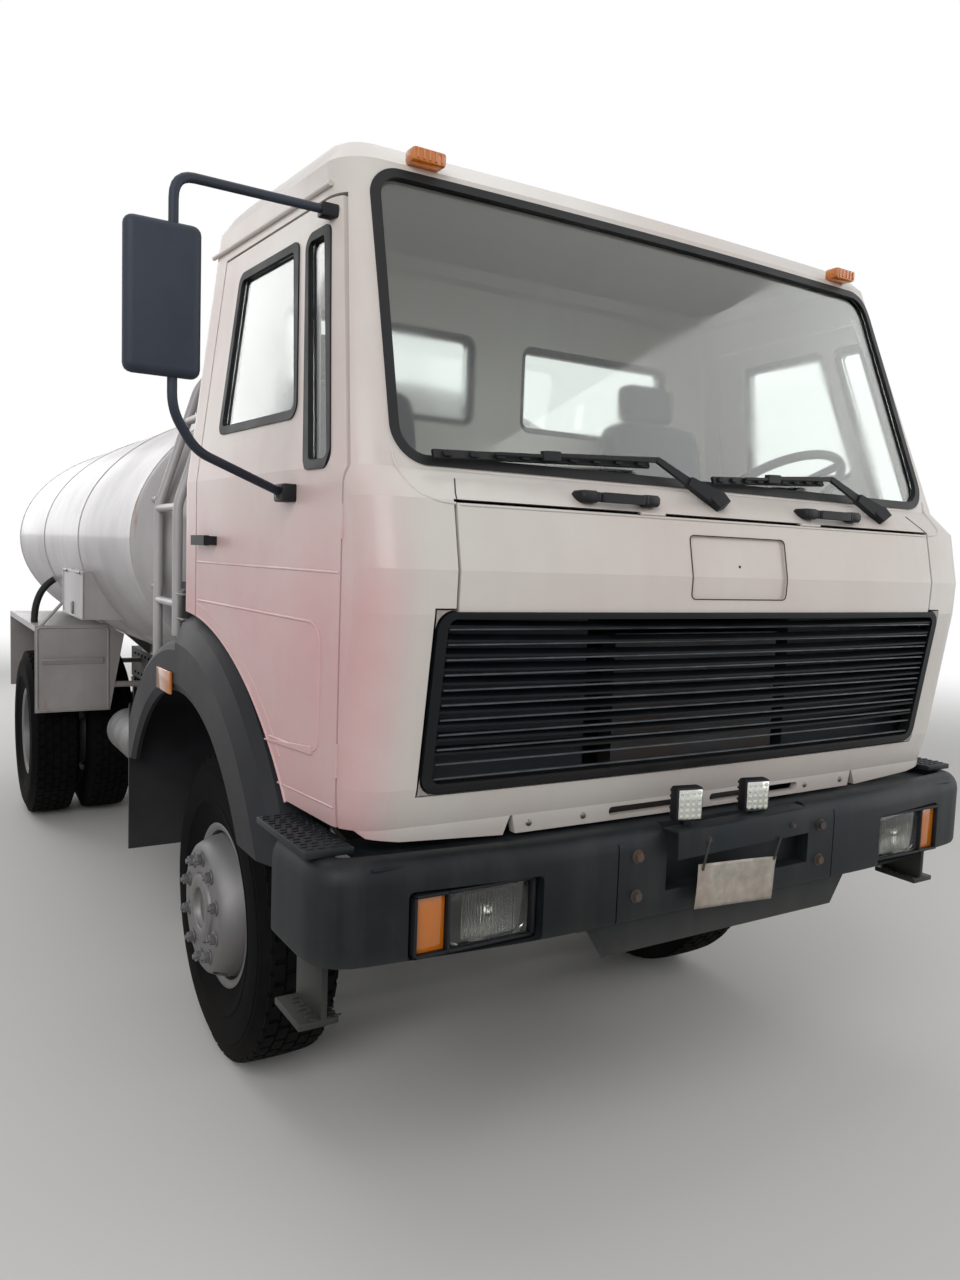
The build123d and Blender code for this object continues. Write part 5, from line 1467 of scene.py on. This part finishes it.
class TankOperator(bpy.types.Operator):
    """Weld seams, manhole bolts and locker fittings of the tank"""
    bl_idname = "tanker.tank"
    bl_label = "Tank Detail"

    def execute(self, context):
        for i, y in enumerate(WELD_SEAMS_Y):
            ring = [at(TANK_HALF_WIDTH * math.cos(a), y,
                       TANK_CENTRE_Z + TANK_HALF_HEIGHT * math.sin(a))
                    for a in (math.tau * k / 96 for k in range(96))]
            bent_tube(f"weld_seam_{i}", ring, sizes().seam_width / 4, "tank", closed=True)
        bm = bmesh.new()
        for i in range(MANHOLE_BOLTS):
            a = math.tau * (i + 0.5) / MANHOLE_BOLTS
            spot = at(MANHOLE_RING * math.cos(a), MANHOLE_Y + MANHOLE_RING * math.sin(a), 2527)
            put_bolt(bm, spot, (0, 0, 1), sizes().bolt_width)
        make_piece("manhole_bolts", bm, "zinc", "manhole_cover", merge=False)
        block_piece("locker_frame", "tank", LOCKER_FRAME)
        bm = bmesh.new()
        put_block(bm, (-1203, 1870, 1380), (-1195, 1910, 1440), 0.002)
        for y in (1700, 2080):
            put_cone(bm, turned(at(-1199, y, 1586), (0, 1, 0)), 14, 0.007, 0.007, 0.08)
        make_piece("locker_hasp", bm, "zinc")
        return {"FINISHED"}


MIRROR_ARMS = (
    # (name, corners, bend in metres)
    ("upper", ((-1440, -1006, 2404), (-1440, -1006, 2517), (-1048, -884, 2560)), 0.05),
    ("lower", ((-1440, -1006, 2110), (-1440, -1006, 2024), (-1376, -960, 1946),
               (-1140, -852, 1874)), 0.04),
)


class MirrorOperator(bpy.types.Operator):
    """Mirror housing with its glass on two bent arms"""
    bl_idname = "tanker.mirror"
    bl_label = "Mirror"

    def execute(self, context):
        body = "door_right"
        block_piece("mirror_housing", "mirror_housing",
                    [((-1545, -1034, 2092), (-1383, -990, 2414), 0.020, 4)], body,
                    ("mirror_right",))
        block_piece("mirror_glass", "mirror",
                    [((-1536, -992, 2102), (-1392, -988, 2404), 0.002)], body)
        for name, corners, bend in MIRROR_ARMS:
            bent_tube(f"mirror_arm_{name}", [at(*corner) for corner in corners], 0.011,
                      "mirror_housing", body, bend)
        block_piece("mirror_clamps", "plastic", [
            ((-1062, -902, 2542), (-1018, -866, 2574), 0.004),
            ((-1144, -885, 1850), (-1094, -818, 1894), 0.006)], body, merge=False)
        bm = bmesh.new()
        for z in (1862, 1884):
            put_bolt(bm, at(-1144, -851, z), (-1, 0, 0), 0.010)
        make_piece("mirror_bolts", bm, "zinc", body, merge=False)
        return {"FINISHED"}


RAIL_OUTSIDE_X = 390
MUDGUARD_LIP = ((848, 742), (848, 1228), (1238, 1228), (1238, 742), (848, 742))


class ChassisOperator(bpy.types.Operator):
    """Bolts along the rails, and the lips and ribs of the rear mudguards"""
    bl_idname = "tanker.chassis"
    bl_label = "Chassis Detail"

    def execute(self, context):
        bolts, ribs = bmesh.new(), bmesh.new()
        for side in (-1, 1):
            for y in range(-1100, 4400, 110):
                for z in (775, 915):
                    put_bolt(bolts, at(side * RAIL_OUTSIDE_X, y, z), (side, 0, 0),
                             sizes().bolt_width * 0.8)
        make_piece("rail_bolts", bolts, "chassis", merge=False)
        for side, word in SIDES:
            line = [at(side * x, 2868, z) for x, z in MUDGUARD_LIP]
            bent_tube(f"mudguard_lip_{word}", line, 0.006, "tank", bend=0.02)
            put_bar(ribs, at(side * 876, 2864, 1030), at(side * 1216, 2864, 1030),
                    0.034, 0.034, 0.016, (0, -1, -0.6))
        make_piece("mudguard_ribs", ribs, "tank", bevel=0.002)
        return {"FINISHED"}


HOSE_RADIUS = 0.020
HOSE_ROUTE = (
    # (x, y, z) in millimetres: out of the tank's flank, then down to the mudguard
    (-1108, 3120, 1502),
    (-1222, 3120, 1433),
    (-1222, 3120, 1240.3),
)


class HoseOperator(bpy.types.Operator):
    """Black rubber hose from the tank's flank to the right mudguard"""
    bl_idname = "tanker.hose"
    bl_label = "Hose"

    def execute(self, context):
        places = [at(*place) for place in HOSE_ROUTE]
        line, spline = round_line("hose_line", "NURBS", places, HOSE_RADIUS, 6)
        spline.order_u = 3
        spline.use_endpoint_u = True
        spline.resolution_u = 24
        line.materials.append(FINISHES["hose"])
        piece = put_object("hose_run", line)
        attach(piece, "chassis")
        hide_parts("hose")
        return {"FINISHED"}


STEPS = (
    StageOperator,
    FinishesOperator,
    TyresOperator,
    WheelsOperator,
    CabTrimOperator,
    GrilleOperator,
    WipersOperator,
    MirrorOperator,
    LampsOperator,
    WorkLampsOperator,
    BumperOperator,
    SeatsOperator,
    TankOperator,
    ChassisOperator,
    HoseOperator,
)


class TruckPanel(bpy.types.Panel):
    """The truck's settings and the steps that build its looks"""
    bl_idname = "TANKER_PT_looks"
    bl_label = "Tanker Truck"
    bl_space_type = "VIEW_3D"
    bl_region_type = "UI"
    bl_category = "Tanker"

    def draw(self, context):
        layout = self.layout
        for name in TruckSizes.__annotations__:
            layout.prop(context.scene.truck_sizes, name)
        for name in TruckColours.__annotations__:
            layout.prop(context.scene.truck_colours, name)
        for step in STEPS:
            layout.operator(step.bl_idname)


CLASSES = (TruckSizes, TruckColours, *STEPS, TruckPanel)


def register():
    for item in CLASSES:
        bpy.utils.register_class(item)
    bpy.types.Scene.truck_sizes = bpy.props.PointerProperty(type=TruckSizes)
    bpy.types.Scene.truck_colours = bpy.props.PointerProperty(type=TruckColours)


def unregister():
    del bpy.types.Scene.truck_colours
    del bpy.types.Scene.truck_sizes
    for item in reversed(CLASSES):
        bpy.utils.unregister_class(item)


def main():
    """Build everything in order."""
    register()
    for step in STEPS:
        space, name = step.bl_idname.split(".")
        getattr(getattr(bpy.ops, space), name)()


if __name__ == "__main__":
    main()
